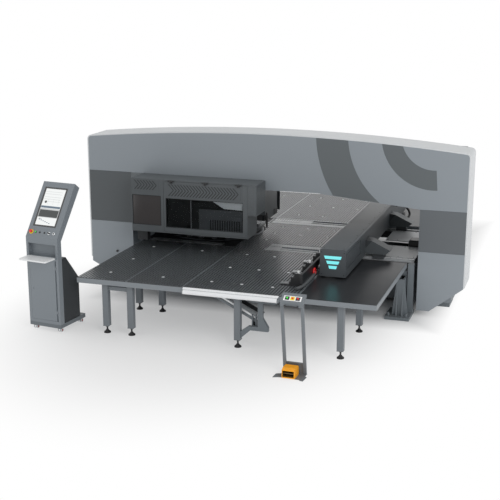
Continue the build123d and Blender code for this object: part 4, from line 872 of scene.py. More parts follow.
@dataclass
class Guard:
    """Guard box round the turret with its windows, door, perforated strips and hinges.

    Windows, grilles and the shield's parts are given as left, right, bottom and top.
    """

    front: float = -1425.0
    left_window: tuple[float, float, float, float] = (-1822.0, -1410.0, 1065.0, 1470.0)
    door_window: tuple[float, float, float, float] = (-1328.0, -232.0, 1051.0, 1446.0)
    left_grille: tuple[float, float, float, float] = (-1808.0, -1429.0, 1545.0, 1685.0)
    door_grille: tuple[float, float, float, float] = (-1310.0, -262.0, 1478.0, 1650.0)
    chevron_pitch: float = 44.0
    rib_pitch: float = 15.0
    shield: tuple[float, float, float, float] = (-1340.0, -222.0, 1000.0, 1470.0)
    shield_sheet_y: tuple[float, float] = (-1402.0, -1398.0)
    shield_parts_y: tuple[float, float] = (-1407.0, -1401.0)
    shield_upright: tuple[float, float, float, float] = (-980.0, -970.0, 1000.0, 1470.0)
    shield_panel: tuple[float, float, float, float] = (-860.0, -240.0, 1010.0, 1330.0)
    shield_wedge: tuple[tuple[float, float], ...] = (
        (-690.0, 1460.0), (-240.0, 1460.0), (-240.0, 1345.0), (-500.0, 1352.0))
    shield_rib: tuple[float, float, float, float] = (-700.0, -686.0, 1020.0, 1190.0)
    shield_ribs: int = 13
    shield_rib_pitch: float = 34.0

    def frame_round(self, x0: float, x1: float, z0: float, z1: float, width: float,
                    y: float) -> tuple[Array, Faces]:
        """Flat gasket round an opening: a slab whose grid is the outer and inner rounded outline, closed."""
        outer = rounded_outline(x0 - width, x1 + width, z0 - width, z1 + width, 9)
        inner = rounded_outline(x0, x1, z0, z1, 4)
        n = len(outer)
        ring = np.concatenate([outer, inner])
        front = np.insert(ring, 1, y, 1)
        back = front + (0, 3.0, 0)
        i = np.arange(n)
        j = (i + 1) % n
        faces = [np.stack([i, j, j + n, i + n], -1), np.stack([i + n, j + n, j, i], -1) + 2 * n,
                 np.stack([j, i, i + 2 * n, j + 2 * n], -1), np.stack([i, j, j + 2 * n, i + 2 * n], -1) + n]
        return np.vstack([front, back]), faces

    def chevrons(self, x0: float, x1: float, z0: float, z1: float) -> tuple[Shell, Shell]:
        """Perforated strip: a raised sheet, and on it dark slanting bars in place of the slots, painted with
        the shade seen through them, that meet in arrow shapes.
        """
        sheet, bars = Shell(), Shell()
        sheet.add(box(x0, x1, self.front - 2.6, self.front + 1, z0, z1, 1.2))
        half = (z1 - z0) / 2 - 6
        wide = self.chevron_pitch * 0.4
        for sign in (1, -1):
            mid = (z0 + z1) / 2
            bar = prism([(0, 1), (wide, 1), (wide - half * 0.9, half), (-half * 0.9, half)], -2.9, 0.0)
            points = bar[0] * (1, 1, sign) + (0, self.front, mid)
            spots = np.arange(x0 + half + 4, x1 - wide - 4, self.chevron_pitch)
            bars.repeat((points, bar[1]), [(x, 0, 0) for x in spots])
        return sheet, bars

    def inner_shield(self) -> None:
        """Flat panels right behind the door's window for the guard's interior: a dark sheet and fine dark
        ribs that are painted shade of that interior, an upright, a grey panel and a pale wedge.
        """
        y0, y1 = self.shield_parts_y
        shell = Shell()
        for (x0, x1, z0, z1), (low, high), tone in ((self.shield, self.shield_sheet_y, 0),
                                                    (self.shield_upright, (y0, y1), 1),
                                                    (self.shield_panel, (y0, y1), 3)):
            shell.add(box(x0, x1, low, high, z0, z1, 1), tone)
        shell.add(prism(self.shield_wedge, y0, y1), 2)
        x0, x1, z0, z1 = self.shield_rib
        for move in self.shield_rib_pitch * np.arange(self.shield_ribs):
            shell.add(box(x0 + move, x1 + move, y0 - 1.4, y0 + 1, z0, z1, 0.4), 0)
        tones = (Finishes.shield_painted_shade, Finishes.shield_line, Finishes.shield_pale, Finishes.shield_grey)
        piece("door_inner_shield", "door", tones, shell)

    def build(self) -> None:
        """Dresses the guard and adds gaskets, grilles, ribs, the inner shield and screws."""
        sensor = (Finishes.grille_slot, lambda p: p[:, 2] < 962)
        hinges = (Finishes.black_metal, lambda p: p[:, 1] < self.front - 1)
        dress("guard_housing", Finishes.guard_grey, sensor, hinges)
        dress("guard_left_window", Finishes.brown_glass)
        dress("guard_door", Finishes.guard_grey, hinges)
        dress("guard_door_window", Finishes.smoked_glass)
        for name, body, spot in (("left_window_gasket", "machine", self.left_window),
                                 ("door_window_gasket", "door", self.door_window)):
            piece(name, body, Finishes.rubber, Shell().add(self.frame_round(*spot, 5.0, self.front - 1.5)))
        for name, body, spot in (("left_grille", "machine", self.left_grille),
                                 ("door_grille", "door", self.door_grille)):
            sheet, bars = self.chevrons(*spot)
            piece(name + "_sheet", body, Finishes.guard_grey, sheet)
            # Dark bars of painted shade where the slots are.
            piece(name + "_slots", body, Finishes.grille_slot, bars)
        # The pier's and the door's ribs take the lighter copy of the guard grey: painted light.
        ribs = Shell()
        for x in np.arange(-156, -48, self.rib_pitch):
            ribs.add(box(x, x + 7, self.front - 2.5, self.front + 1, 1296, 1672, 1.2))
        piece("guard_pier_ribs", "machine", Finishes.guard_rib_painted_lit, ribs)
        door = Shell()
        for x in np.arange(-224, -178, self.rib_pitch):
            door.add(box(x, x + 7, self.front - 2.5, self.front + 1, 992, 1676, 1.2))
        piece("guard_door_ribs", "door", Finishes.guard_rib_painted_lit, door)
        side = Shell()
        for y in np.arange(-1404, -1060, 24.0):
            side.add(box(-39, -36.0, y, y + 11, 1300, 1684, 1.0))
        piece("guard_side_ribs", "machine", Finishes.guard_grey, side)
        self.inner_shield()
        screws = Shell()
        head = button_head(6, 3, "z")
        spots = [(x, y, 1701) for x in np.linspace(-1800, -80, 9) for y in (-1400, -1060)]
        screws.repeat(head, spots)
        piece("guard_top_screws", "machine", Finishes.black_metal, screws)


@dataclass
class Turret:
    """Turret discs with punch holders and die rings, the ram's housing and tool block, and the rear sheet
    that puts shade behind the throat.
    """

    x: float = -1130.0
    lower_top: float = 728.0
    lower_radius: float = 717.0
    upper_top: float = 820.0
    upper_radius: float = 700.0
    station_circle: float = 620.0
    stations: int = 20
    radii: tuple[float, float] = (46.0, 32.0)
    height: float = 118.0
    rim_depth: float = 20.0
    bolt_circle: float = 200.0
    rear_shade_sheet: tuple[float, ...] = (-1996.0, -290.0, 500.0, 504.0, 965.0, 1599.5)
    block_x: tuple[float, float] = (-706.0, -269.0)
    block_y: tuple[float, float] = (140.0, 306.0)
    block_z: tuple[float, float] = (962.0, 1046.0)
    block_plates: tuple[float, ...] = (-680.0, -560.0, -420.0, -296.0)
    spindle: tuple[float, float] = (-254.0, -268.0)

    def spots(self, start: int, step: int, z: float) -> Array:
        """Places of every step-th station on its circle, at height z."""
        turn = np.arange(start, self.stations, step) * 2 * math.pi / self.stations
        return np.stack([self.x + self.station_circle * np.cos(turn), self.station_circle * np.sin(turn),
                         np.full(len(turn), z)], -1)

    def holder(self, radius: float) -> list[tuple[float, float]]:
        """Turned profile of a punch holder: body, collar, spring turns, neck and domed head."""
        h = self.height
        coil = []
        for k in range(5):
            z = h * (0.40 + 0.05 * k)
            coil += [(radius * 0.74, z), (radius * 0.84, z + h * 0.025), (radius * 0.74, z + h * 0.05)]
        body = [(radius * 0.98, 0.0), (radius, 2.0), (radius, h * 0.32), (radius * 0.96, h * 0.35),
                (radius * 0.7, h * 0.36)]
        shares = ((0.94, 0.66), (0.94, 0.72), (0.9, 0.74), (0.5, 0.75), (0.5, 0.86), (0.6, 0.87), (0.6, 0.96),
                  (0.52, 0.995), (0.0, 0.995))
        return [*body, *coil, *[(radius * r, h * z) for r, z in shares]]

    def build(self) -> None:
        """Dresses the turret, replaces the plain holders by turned ones and adds rings, bolts and rims."""
        dress("upper_turret", Finishes.cast)
        dress("lower_turret", Finishes.cast)
        dress("turret_shafts", Finishes.black_oxide)
        dress("ram_housing", Finishes.guard_grey)
        dress("ram", Finishes.chrome)
        holders = Shell()
        for start, radius in enumerate(self.radii):
            spots = self.spots(start, 2, self.upper_top)
            holders.repeat(lathe(self.holder(radius), sides=24), spots, tone=start)
        made = piece("punch_holders_turned", "turret_top", (Finishes.steel, Finishes.black_oxide), holders)
        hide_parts("punch_holders")
        dies = Shell()
        ring = [(29.0, -6.0), (43.0, -6.0), (43.0, 1.2), (41.5, 2.2), (31.0, 2.2), (29.0, 0.6)]
        dies.repeat(lathe(ring, sides=28, loop=True), self.spots(0, 1, self.lower_top))
        # Pale rim: painted reflection of ground steel.
        dies.add(self.rim(self.lower_radius, self.lower_top), tone=1)
        piece("die_rings", "turret_bottom", (Finishes.steel, Finishes.trough_pale), dies)
        top = Shell()
        bolt = hex_head(22, 12)
        turn = np.arange(12) * math.pi / 6 + 0.13
        top.repeat(bolt, np.stack([self.x + self.bolt_circle * np.cos(turn), self.bolt_circle * np.sin(turn),
                                   np.full(12, self.upper_top)], -1))
        ring = [(170, 0), (240, 0), (240, 5), (236, 8), (174, 8), (170, 5)]
        top.add(lathe(ring, (self.x, 0, self.upper_top - 1), sides=64, loop=True), tone=1)
        # Pale rim: painted reflection of ground steel.
        top.add(self.rim(self.upper_radius, self.upper_top), tone=2)
        tones = (Finishes.black_oxide, Finishes.steel, Finishes.trough_pale)
        piece("turret_ring_and_bolts", "turret_top", tones, top)
        # A sheet of painted shade behind the throat, for the tables' reflections.
        self.hanging_shade_sheet()
        self.tool_block()

    def rim(self, disc_radius: float, top: float) -> tuple[Array, Faces]:
        """Ground rim of a disc: a quarter round at its top edge, then straight down. The callers give it a
        pale plain finish, a painted reflection for the bright ground steel.
        """
        radius, depth = disc_radius - 0.4, self.rim_depth
        t = np.radians(np.linspace(90, 0, 7))
        turned = [(radius - depth + depth * math.cos(a), -depth + depth * math.sin(a)) for a in t]
        profile = [*turned, (radius, -46.0), (radius - 4, -48.0), (radius - depth, -48.0)]
        return lathe(profile, (self.x, 0, top), sides=144, loop=True)

    def hanging_shade_sheet(self) -> None:
        """Dark sheet that closes the throat's rear above the tables, with upright stiffeners on its front. It
        stands where there is only shade, so that the tables show a shaded reflection there: painted shade.
        """
        x0, x1, y0, y1, z0, z1 = self.rear_shade_sheet
        sheet = Shell().add(box(x0, x1, y0, y1, z0, z1, 1))
        for x in np.linspace(x0 + 36, x1 - 40, 6):
            sheet.add(box(x - 15, x + 15, y0 - 4, y0 + 1, z0 + 10, z1 - 9.5, 1))
        piece("throat_rear_shade_sheet", "machine", Finishes.guard_grey, sheet)

    def tool_block(self) -> None:
        """Dark bars on both sides of the ram, with plates, a spindle in its bracket and a bright foot."""
        block = Shell()
        (x0, x1), (near, far), (z0, z1) = self.block_x, self.block_y, self.block_z
        block.add(box(x0, x1, -far, -near, z0, z1, 4), 0)
        block.add(box(x0, x1, near, far, z0, z1, 4), 0)
        for x in self.block_plates:
            outline = rounded_outline(x - 12, x + 12, z0 + 8, z1 - 6, 5)
            block.add(prism(outline, -far - 3, -far + 1), 1)
        spindle = [(0, 858), (11, 858), (13, 862), (13, 1076), (9, 1082), (0, 1082)]
        block.add(lathe(spindle, (*self.spindle, 0), sides=24), 0)
        block.add(box(-275, -246, -284, -252, 1004, 1028, 2), 0)
        block.add(box(-420, -300, -298, -210, 904, 963, 3), 2)
        tones = (Finishes.black_metal, Finishes.black_oxide, Finishes.chrome)
        piece("ram_tool_block", "machine", tones, block)


@dataclass
class Tables:
    """Brush tables, side tables, ball transfers, legs, feet and the front roller."""

    half_depth: float = 3015.0
    guide_y: float = 842.0
    guide_width: float = 165.0
    edges: tuple[float, ...] = (-1886.0, -1222.0, -469.0, 960.0)
    bed_left: float = -60.0
    ridge_pitch: float = 38.0
    ridge_width: float = 20.0
    tuft_pitch: float = 19.0
    tuft_half: float = 10.4
    tuft_tip: float = 721.6
    tuft_section: tuple[tuple[float, float], ...] = (
        (-1.0, -4.4), (-1.0, -1.1), (-0.84, 0.0), (0.84, 0.0), (1.0, -1.1), (1.0, -4.4))
    backing_top: float = 718.8
    cutout: tuple[float, float] = (-1130.0, 729.0)
    ball_rows: tuple[tuple[float, tuple[float, ...]], ...] = (
        (1295.0, (-1580.0, -860.0, -213.0, 178.0)), (1985.0, (-1580.0, -213.0, 178.0, 572.0)),
        (2675.0, (-1580.0, -860.0, -213.0, 178.0, 572.0)))
    ball_centre: tuple[tuple[float, ...], tuple[float, ...]] = ((-213.0, 178.0, 572.0), (-415.0, 0.0, 415.0))
    leg_spots: tuple[tuple[float, float], ...] = (
        (-1533.0, 2922.0), (-1197.0, 2922.0), (210.0, 2922.0), (1487.0, 2922.0), (-1541.0, 1905.0),
        (-1207.0, 1905.0), (1487.0, 1905.0))
    roller: tuple[float, float] = (-461.0, 757.0)
    strip_left: tuple[float, float] = (-60.0, -466.0)

    def balls(self) -> Array:
        """Places of all ball transfers."""
        outer = [(x, s * y) for s in (-1, 1) for y, row in self.ball_rows for x in row]
        return np.array(outer + [(x, y) for y in self.ball_centre[1] for x in self.ball_centre[0]])

    def strips(self, x0: float, x1: float, y0: float, y1: float) -> Shell:
        """Rows of touching bristle tufts along Y, with gaps over balls, guide strips and the turret.

        Along a row the half width is half + 0.8·cos(2πy/p) and the tip is tip + 0.4·cos(2πy/p), p the pitch.
        """
        count = int((x1 - x0 - self.ridge_width) // self.ridge_pitch) + 1
        xs = (x0 + x1) / 2 + (np.arange(count) - (count - 1) / 2) * self.ridge_pitch
        ys = np.arange(y0 + 3, y1 - 3, self.tuft_pitch / 2)
        spots = np.stack(np.meshgrid(xs, ys, indexing="ij"), -1)
        gaps = np.hypot(*(spots[:, :, None] - self.balls()).transpose(3, 0, 1, 2)).min(2)
        away = np.hypot(spots[..., 0] - self.cutout[0], spots[..., 1])
        along = np.abs(spots[..., 1])
        strip = ((along > 612) & (along < 768)) | ((along > 918) & (along < 992))
        strip &= spots[..., 0] > np.where(spots[..., 1] > 0, self.strip_left[1], self.strip_left[0])
        held = (gaps > 31) & (away > self.cutout[1] + 10) & ~strip
        wave = np.cos(np.arange(len(ys)) * math.pi)
        shape = np.array(self.tuft_section)
        rim = np.arange(len(shape))
        shell = Shell()
        for x, row in zip(xs, held):
            turns = np.flatnonzero(np.diff(np.concatenate([[0], row.astype(int), [0]])))
            for first, last in zip(turns[::2], turns[1::2]):
                if last - first < 3:
                    continue
                points = np.zeros((last - first, len(shape), 3))
                swing = wave[first:last, None]
                points[..., 0] = x + shape[:, 0] * (self.tuft_half + 0.8 * swing)
                points[..., 1] = ys[first:last, None]
                points[..., 2] = self.tuft_tip + shape[:, 1] + np.where(shape[:, 1] > -4, 0.4 * swing, 0.0)
                sides = grid_faces(last - first, len(shape), wrap_cols=True)
                ends = [rim[None, ::-1], rim[None, :] + (last - first - 1) * len(shape)]
                shell.add((points.reshape(-1, 3), [sides, *ends]))
        return shell

    def mats(self) -> None:
        """Backing of the mats, taken from the CAD mats and lowered, with the tufts standing on it."""
        high, low = self.guide_y + self.guide_width / 2, self.guide_y - self.guide_width / 2
        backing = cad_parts["brush_mats"].data.copy()
        build = bmesh.new()
        build.from_mesh(backing)
        bmesh.ops.remove_doubles(build, verts=build.verts, dist=1e-5)
        build.to_mesh(backing)
        build.free()
        co = np.zeros(len(backing.vertices) * 3, np.float32)
        backing.vertices.foreach_get("co", co)
        co = co.reshape(-1, 3)
        co[:, 2] = np.where(co[:, 2] > 0.72, self.backing_top * MM, co[:, 2])
        backing.vertices.foreach_set("co", co.ravel())
        backing.materials.clear()
        backing.materials.append(Finishes.brush_base.material())
        backing.polygons.foreach_set("material_index", np.zeros(len(backing.polygons), np.int32))
        backing.update()
        made = bpy.data.objects.new("brush_backing", backing)
        bpy.context.scene.collection.objects.link(made)
        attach(made, "machine")
        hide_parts("brush_mats")
        names = ("left", "middle", "right")
        for number, (x0, x1) in enumerate(zip(self.edges[:-1], self.edges[1:])):
            for side, label in ((-1, "front"), (1, "rear")):
                y0, y1 = sorted((side * self.half_depth, side * (high + 1)))
                piece(f"bristles_{label}_{names[number]}", "machine", Finishes.bristle,
                      self.strips(x0 + 1, x1 - 1, y0, y1), soft_angle=25)
        piece("bristles_centre_right", "machine", Finishes.bristle,
              self.strips(self.bed_left, self.edges[-1] - 1, -low + 1, low - 1), soft_angle=25)
        left = self.cutout[0] + self.cutout[1] - 120
        piece("bristles_centre_left", "machine", Finishes.bristle,
              self.strips(left, self.bed_left - 1, -high + 1, high - 1), soft_angle=25)

    def seams(self) -> None:
        """Strips over the seams between the trays, and the slatted sheets beside the beam's guides."""
        high = self.guide_y + self.guide_width / 2
        shell = Shell()
        for side in (-1, 1):
            y0, y1 = sorted((side * self.half_depth, side * high))
            for x in self.edges[1:3]:
                shell.add(box(x - 4, x + 4, y0, y1, 714, 720.5, 0.8))
        piece("table_seam_strips", "machine", Finishes.leg_paint, shell)
        slats = Shell()
        for side, left in zip((-1, 1), self.strip_left):
            for near, far in ((620, 758), (926, 984)):
                y0, y1 = sorted((side * near, side * far))
                xs = np.arange(left, self.edges[-1] - 34, self.ridge_pitch)
                slats.repeat(box(0, 26, y0, y1, 716, 722.4, 1.5), [(x, 0, 0) for x in xs])
                slats.add(box(left, self.edges[-1] - 4, y0 + 14, y1 - 14, 714, 720.6, 1))
            y0, y1 = sorted((side * 770, side * 914))
            slats.add(box(left, 130, y0, y1, 717.6, 720.2, 1))
        # The slatted sheets are painted pale: painted sheen of bright metal.
        piece("guide_strips", "machine", Finishes.guide_strip_painted_sheen, slats)

    def ball_units(self) -> None:
        """Ball transfers: a turned flange with its lip, and the ball in it, painted white for a steel ball's
        bright glint.
        """
        balls, cups = Shell(), Shell()
        spots = np.column_stack([self.balls(), np.zeros(len(self.balls()))])
        cup = [(19.5, 715.5), (20.0, 719.5), (18.6, 721.2), (14.6, 721.8), (13.6, 720.6), (0.0, 720.0)]
        t = np.linspace(-0.25, math.pi / 2, 7)
        arc = [(12.6 * math.cos(a), 711.2 + 12.6 * math.sin(a)) for a in t[:-1]]
        ball = [(0.0, 707.0), *arc, (0.0, 723.8)]
        cups.repeat(lathe([(0.0, 715.5), *cup], sides=24), spots)
        balls.repeat(lathe(ball, sides=20), spots)
        made = piece("ball_cups", "machine", Finishes.wheel_grey, cups)
        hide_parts("ball_transfers")
        # The balls are painted white: painted highlight.
        piece("balls", "machine", Finishes.white_roller, balls)

    def feet(self) -> None:
        """Levelling feet: rubber sole, bell-shaped pad, threaded stem, lock nut and end plate of each leg."""
        shell = Shell()
        spots = [(x, s * y, 0.0) for x, y in self.leg_spots for s in (-1, 1)]
        shell.repeat(lathe([(0, 0), (44, 0), (44, 7), (42, 9), (0, 9)], sides=28), spots, 0)
        bell = [(0, 8), (42, 8), (43, 13), (36, 19), (24, 28), (18, 40), (15, 42), (0, 42)]
        shell.repeat(lathe(bell, sides=28), spots, 1)
        thread = [(r, z + d) for z in np.arange(42, 93, 5.0) for r, d in ((12.0, 0.0), (10.4, 2.5))]
        shell.repeat(lathe([(0.0, 40.0), *thread, (0.0, 94.0)], sides=16), spots, 2)
        shell.repeat(lathe([(0, 78), (19, 78), (19, 90), (17, 92), (0, 92)], sides=6), spots, 2)
        tones = (Finishes.rubber, Finishes.black_plastic, Finishes.black_metal)
        made = piece("levelling_feet_turned", "machine", tones, shell)
        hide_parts("levelling_feet")
        plates = Shell()
        plates.repeat(box(-41, 41, -41, 41, 93.5, 99, 1.5), spots)
        piece("leg_end_plates", "machine", Finishes.leg_paint, plates)

    def rollers(self) -> None:
        """Turned roller with dark end rings and its axle in place of the CAD one, and the lip over it."""
        y, z = -self.half_depth - 32.0, 672.0
        x0, x1 = self.roller[0] + 14, self.roller[1] - 14
        shell = Shell()
        end = ((0.0, 0), (27.0, 0), (28.0, 1), (28.0, 18), (27.2, 19), (27.2, 21), (28.0, 22))
        profile = [(r, x0 + d) for r, d in end] + [(r, x1 - d) for r, d in reversed(end)]
        shell.add(lathe(profile, (0, y, z), "x", 40), 0)
        for x in (x0 - 0.5, x1 - 8):
            shell.add(lathe([(12, 0), (27.9, 0), (27.9, 8.5), (12, 8.5)], (x, y, z), "x", 32, loop=True), 1)
        made = piece("front_roller_shell", "roller", (Finishes.white_roller, Finishes.black_plastic), shell)
        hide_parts("front_roller")
        left, right = self.roller[0] - 4, self.roller[1] + 4
        axle = lathe([(0, left), (7.9, left), (7.9, right), (0, right)], (0, y, z), "x", 20)
        piece("roller_axle", "roller", Finishes.steel, Shell().add(axle))
        section = ((-30, 702), (-31, 705), (-22, 716), (2, 721.5), (2, 716), (-18, 711))
        lip = prism([(dy - self.half_depth, z) for dy, z in section], left + 10, right - 10, "x")
        piece("front_lip", "machine", Finishes.white_roller, Shell().add(lip))

    def build(self) -> None:
        """Dresses the tables and adds all that they carry."""
        slab_top = (Finishes.slab_black, lambda p: p[:, 2] > 717.5)
        aprons = (Finishes.bright_sheet, lambda p: p[:, 2] > 716.5)
        tray_top = (Finishes.brush_base, lambda p: p[:, 2] > 714.5)
        dress("tables_front", Finishes.table_paint, tray_top)
        dress("tables_rear", Finishes.table_paint, tray_top)
        dress("table_centre", Finishes.table_paint, tray_top, aprons)
        dress("side_tables", Finishes.table_paint, slab_top)
        dress("table_legs", Finishes.leg_paint)
        self.mats()
        self.seams()
        self.ball_units()
        self.feet()
        self.rollers()


@dataclass
class Bed:
    """Bed with its guide rails, cover plates, drive box and part chute."""

    rail_y: float = 842.0
    rail_top: float = 717.0
    chute_front: float = -2630.0
    chute_mouth: float = -2860.0
    chute_line: tuple[tuple[float, float], tuple[float, float]] = ((-150.0, 640.0), (440.0, 345.0))

    def above_chute(self, p: Array) -> Array:
        """How far points lie above the chute's middle line, square to it."""
        (x0, z0), (x1, z1) = self.chute_line
        return ((p[:, 2] - z0) * (x1 - x0) - (p[:, 0] - x0) * (z1 - z0)) / math.hypot(x1 - x0, z1 - z0)

    def build(self) -> None:
        """Dresses the bed, drive box and chute, and adds the bolts of the rails and the plates' screws."""
        # Rails painted pale as a painted sheen; the channel floor painted pale as painted light in its shade.
        rails = (Finishes.guide_strip_painted_sheen,
                 lambda p: (p[:, 2] > 690.5) & (np.abs(np.abs(p[:, 1]) - self.rail_y) < 24))
        plates = (Finishes.plate_grey, lambda p: (p[:, 2] > 697) & (np.abs(p[:, 1]) < 762) & (p[:, 0] > 1399))
        channel = (Finishes.guide_strip_painted_sheen, lambda p: (p[:, 2] > 689.5) & (p[:, 2] < 690.5))
        dress("bed_frame", Finishes.black_metal, channel, rails, plates)
        dress("drive_box", Finishes.black_metal)
        behind = (Finishes.black_metal, lambda p: p[:, 1] > self.chute_front)
        trough = (Finishes.trough_pale, lambda p: (p[:, 1] < self.chute_front)
                  & ((p[:, 1] > self.chute_mouth) | (self.above_chute(p) > 8)))
        dress("part_chute", Finishes.leg_paint, behind, trough)
        dress("chute_bracket", Finishes.frame_grey)
        bolts = Shell()
        head = lathe([(0.0, 0.2), (6.0, 0.2), (6.5, 0.0), (8.0, 0.0), (8.0, 0.8), (0.0, 0.8)], sides=12)
        xs = np.arange(140, 1960, 80.0)
        bolts.repeat(head, [(x, s * self.rail_y, self.rail_top - 0.3) for x in xs for s in (-1, 1)])
        spots = [(x, s * y, 710) for x in (1425, 1560, 1740, 1950) for y in (190, 720) for s in (-1, 1)]
        bolts.repeat(button_head(7, 4), spots)
        piece("bed_screws", "machine", Finishes.black_oxide, bolts)


@dataclass
class Beam:
    """Sheet-positioning beam with its cover, core and rail, lights and wedge brackets."""

    left: float = 1005.0
    right: float = 1336.0
    half_length: float = 2093.0
    top: float = 1095.0
    bottom: float = 745.0
    recess: tuple[float, float, float, float] = (-2040.0, -1260.0, 841.0, 1034.0)
    conduit: tuple[tuple[float, float, float], ...] = (
        (1330.0, 1215.0, 985.0), (1400.0, 1205.0, 1010.0), (1480.0, 1180.0, 1000.0), (1532.0, 1150.0, 968.0),
        (1568.0, 1150.0, 905.0), (1560.0, 1120.0, 850.0), (1520.0, 1030.0, 815.0), (1490.0, 930.0, 850.0),
        (1470.0, 880.0, 900.0))

    def build(self) -> None:
        """Dresses the beam and adds screws, the recess's trim and the conduit behind it."""
        dress("beam_cover", Finishes.beam_paint)
        dress("beam_core", Finishes.black_metal, (Finishes.steel, lambda p: p[:, 0] < self.left - 0.5))
        dress("beam_lights", Finishes.cyan_light)
        slope = (Finishes.guard_grey, lambda p: (p[:, 0] > self.right + 40) & (p[:, 2] > 832))
        dress("beam_brackets", Finishes.beam_dark, slope)
        end = Shell()
        for side in (-1, 1):
            face = side * self.half_length
            for x in (self.left + 22, self.right - 22):
                for z in (self.bottom + 26, self.top - 40):
                    end.repeat(button_head(6, 3, "y", side), [(x, face - side * 0.3, z)])
        ys = np.linspace(60 - self.half_length, self.half_length - 60, 12)
        for x in (self.left + 40, self.right - 40):
            end.repeat(button_head(6, 3), [(x, y, self.top - 0.3) for y in ys])
        piece("beam_screws", "beam", Finishes.black_oxide, end)
        trim = Shell()
        y0, y1, z0, z1 = self.recess
        face = (self.right - 2, self.right + 0.9)
        for z in (z1 - 4, z0):
            trim.add(box(*face, y0 - 4, y1 + 4, z, z + 4, 0.8))
        for y in (y0 - 4, y1):
            trim.add(box(*face, y, y + 4, z0, z1, 0.8))
        piece("beam_recess_trim", "beam", Finishes.beam_dark, trim)
        route = smooth_route(self.conduit, 70, 9)
        radius = 17.0 + 1.2 * np.sin(np.arange(len(route)) * 1.9)
        conduit = Shell().add(tube(route, radius, 14, up=(0.3, 0.2, 0.9)))
        piece("beam_conduit", "beam", Finishes.black_plastic, conduit, soft_angle=80)


@dataclass
class Carriage:
    """Carriage bar with sheet clamps, jaws, the red coupling ring and its hose."""

    spots: tuple[float, ...] = (1475.0, 1995.0, 2515.0)
    ring_y: float = 2130.0
    ring_z: float = 800.0
    hose: tuple[tuple[float, float, float], ...] = (
        (956.0, -2158.0, 780.0), (957.0, -2350.0, 772.0), (950.0, -2520.0, 762.0), (925.0, -2660.0, 748.0),
        (880.0, -2735.0, 742.0))

    def build(self) -> None:
        """Dresses the carriage and adds the turned ring, the ribbed hose, and the clamps' screws and pins."""
        dress("carriage_bar", Finishes.black_metal)
        dress("clamp_bodies", Finishes.black_metal)
        dress("clamp_jaws", Finishes.steel)
        ring = Shell()
        spot = (0, -self.ring_y, self.ring_z)
        ring.add(lathe(ring_profile(43.0, 11.5, 948.5, 12), spot, "x", 40, loop=True), 0)
        ring.add(box(938, 946, -self.ring_y - 6, -self.ring_y + 6,
                     self.ring_z - 42, self.ring_z + 42, 1.5), 0)
        hub = [(0, 936.5), (16, 936.5), (16, 955), (13, 959), (6, 959), (5, 956), (0, 956)]
        ring.add(lathe(hub, spot, "x", 28), 1)
        made = piece("coupling_ring_turned", "carriage", (Finishes.red, Finishes.black_metal), ring)
        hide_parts("coupling_ring")
        route = smooth_route(self.hose, 110, 15)
        hose = Shell().add(tube(route, 19.0 + 1.6 * np.sin(np.arange(len(route)) * 1.9), 14))
        made = piece("clamp_hose_ribbed", "carriage", Finishes.hose_grey, hose, soft_angle=80)
        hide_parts("clamp_hose")
        screws = Shell()
        cap = button_head(7, 6)
        for spot in self.spots:
            screws.repeat(cap, [(x, -spot + dy, 880) for x in (830, 875) for dy in (-30, 30)])
            screws.repeat(cap, [(786, -spot + dy, 834) for dy in (-30, 30)])
        piece("clamp_screws", "carriage", Finishes.steel, screws)
        pins = Shell()
        for spot in self.spots:
            pins.add(lathe([(0, -2), (13, -2), (13, 26), (10, 32), (0, 33)], (852, -spot - 8, 880), "z", 24))
        piece("clamp_pins", "carriage", Finishes.white_plate, pins)


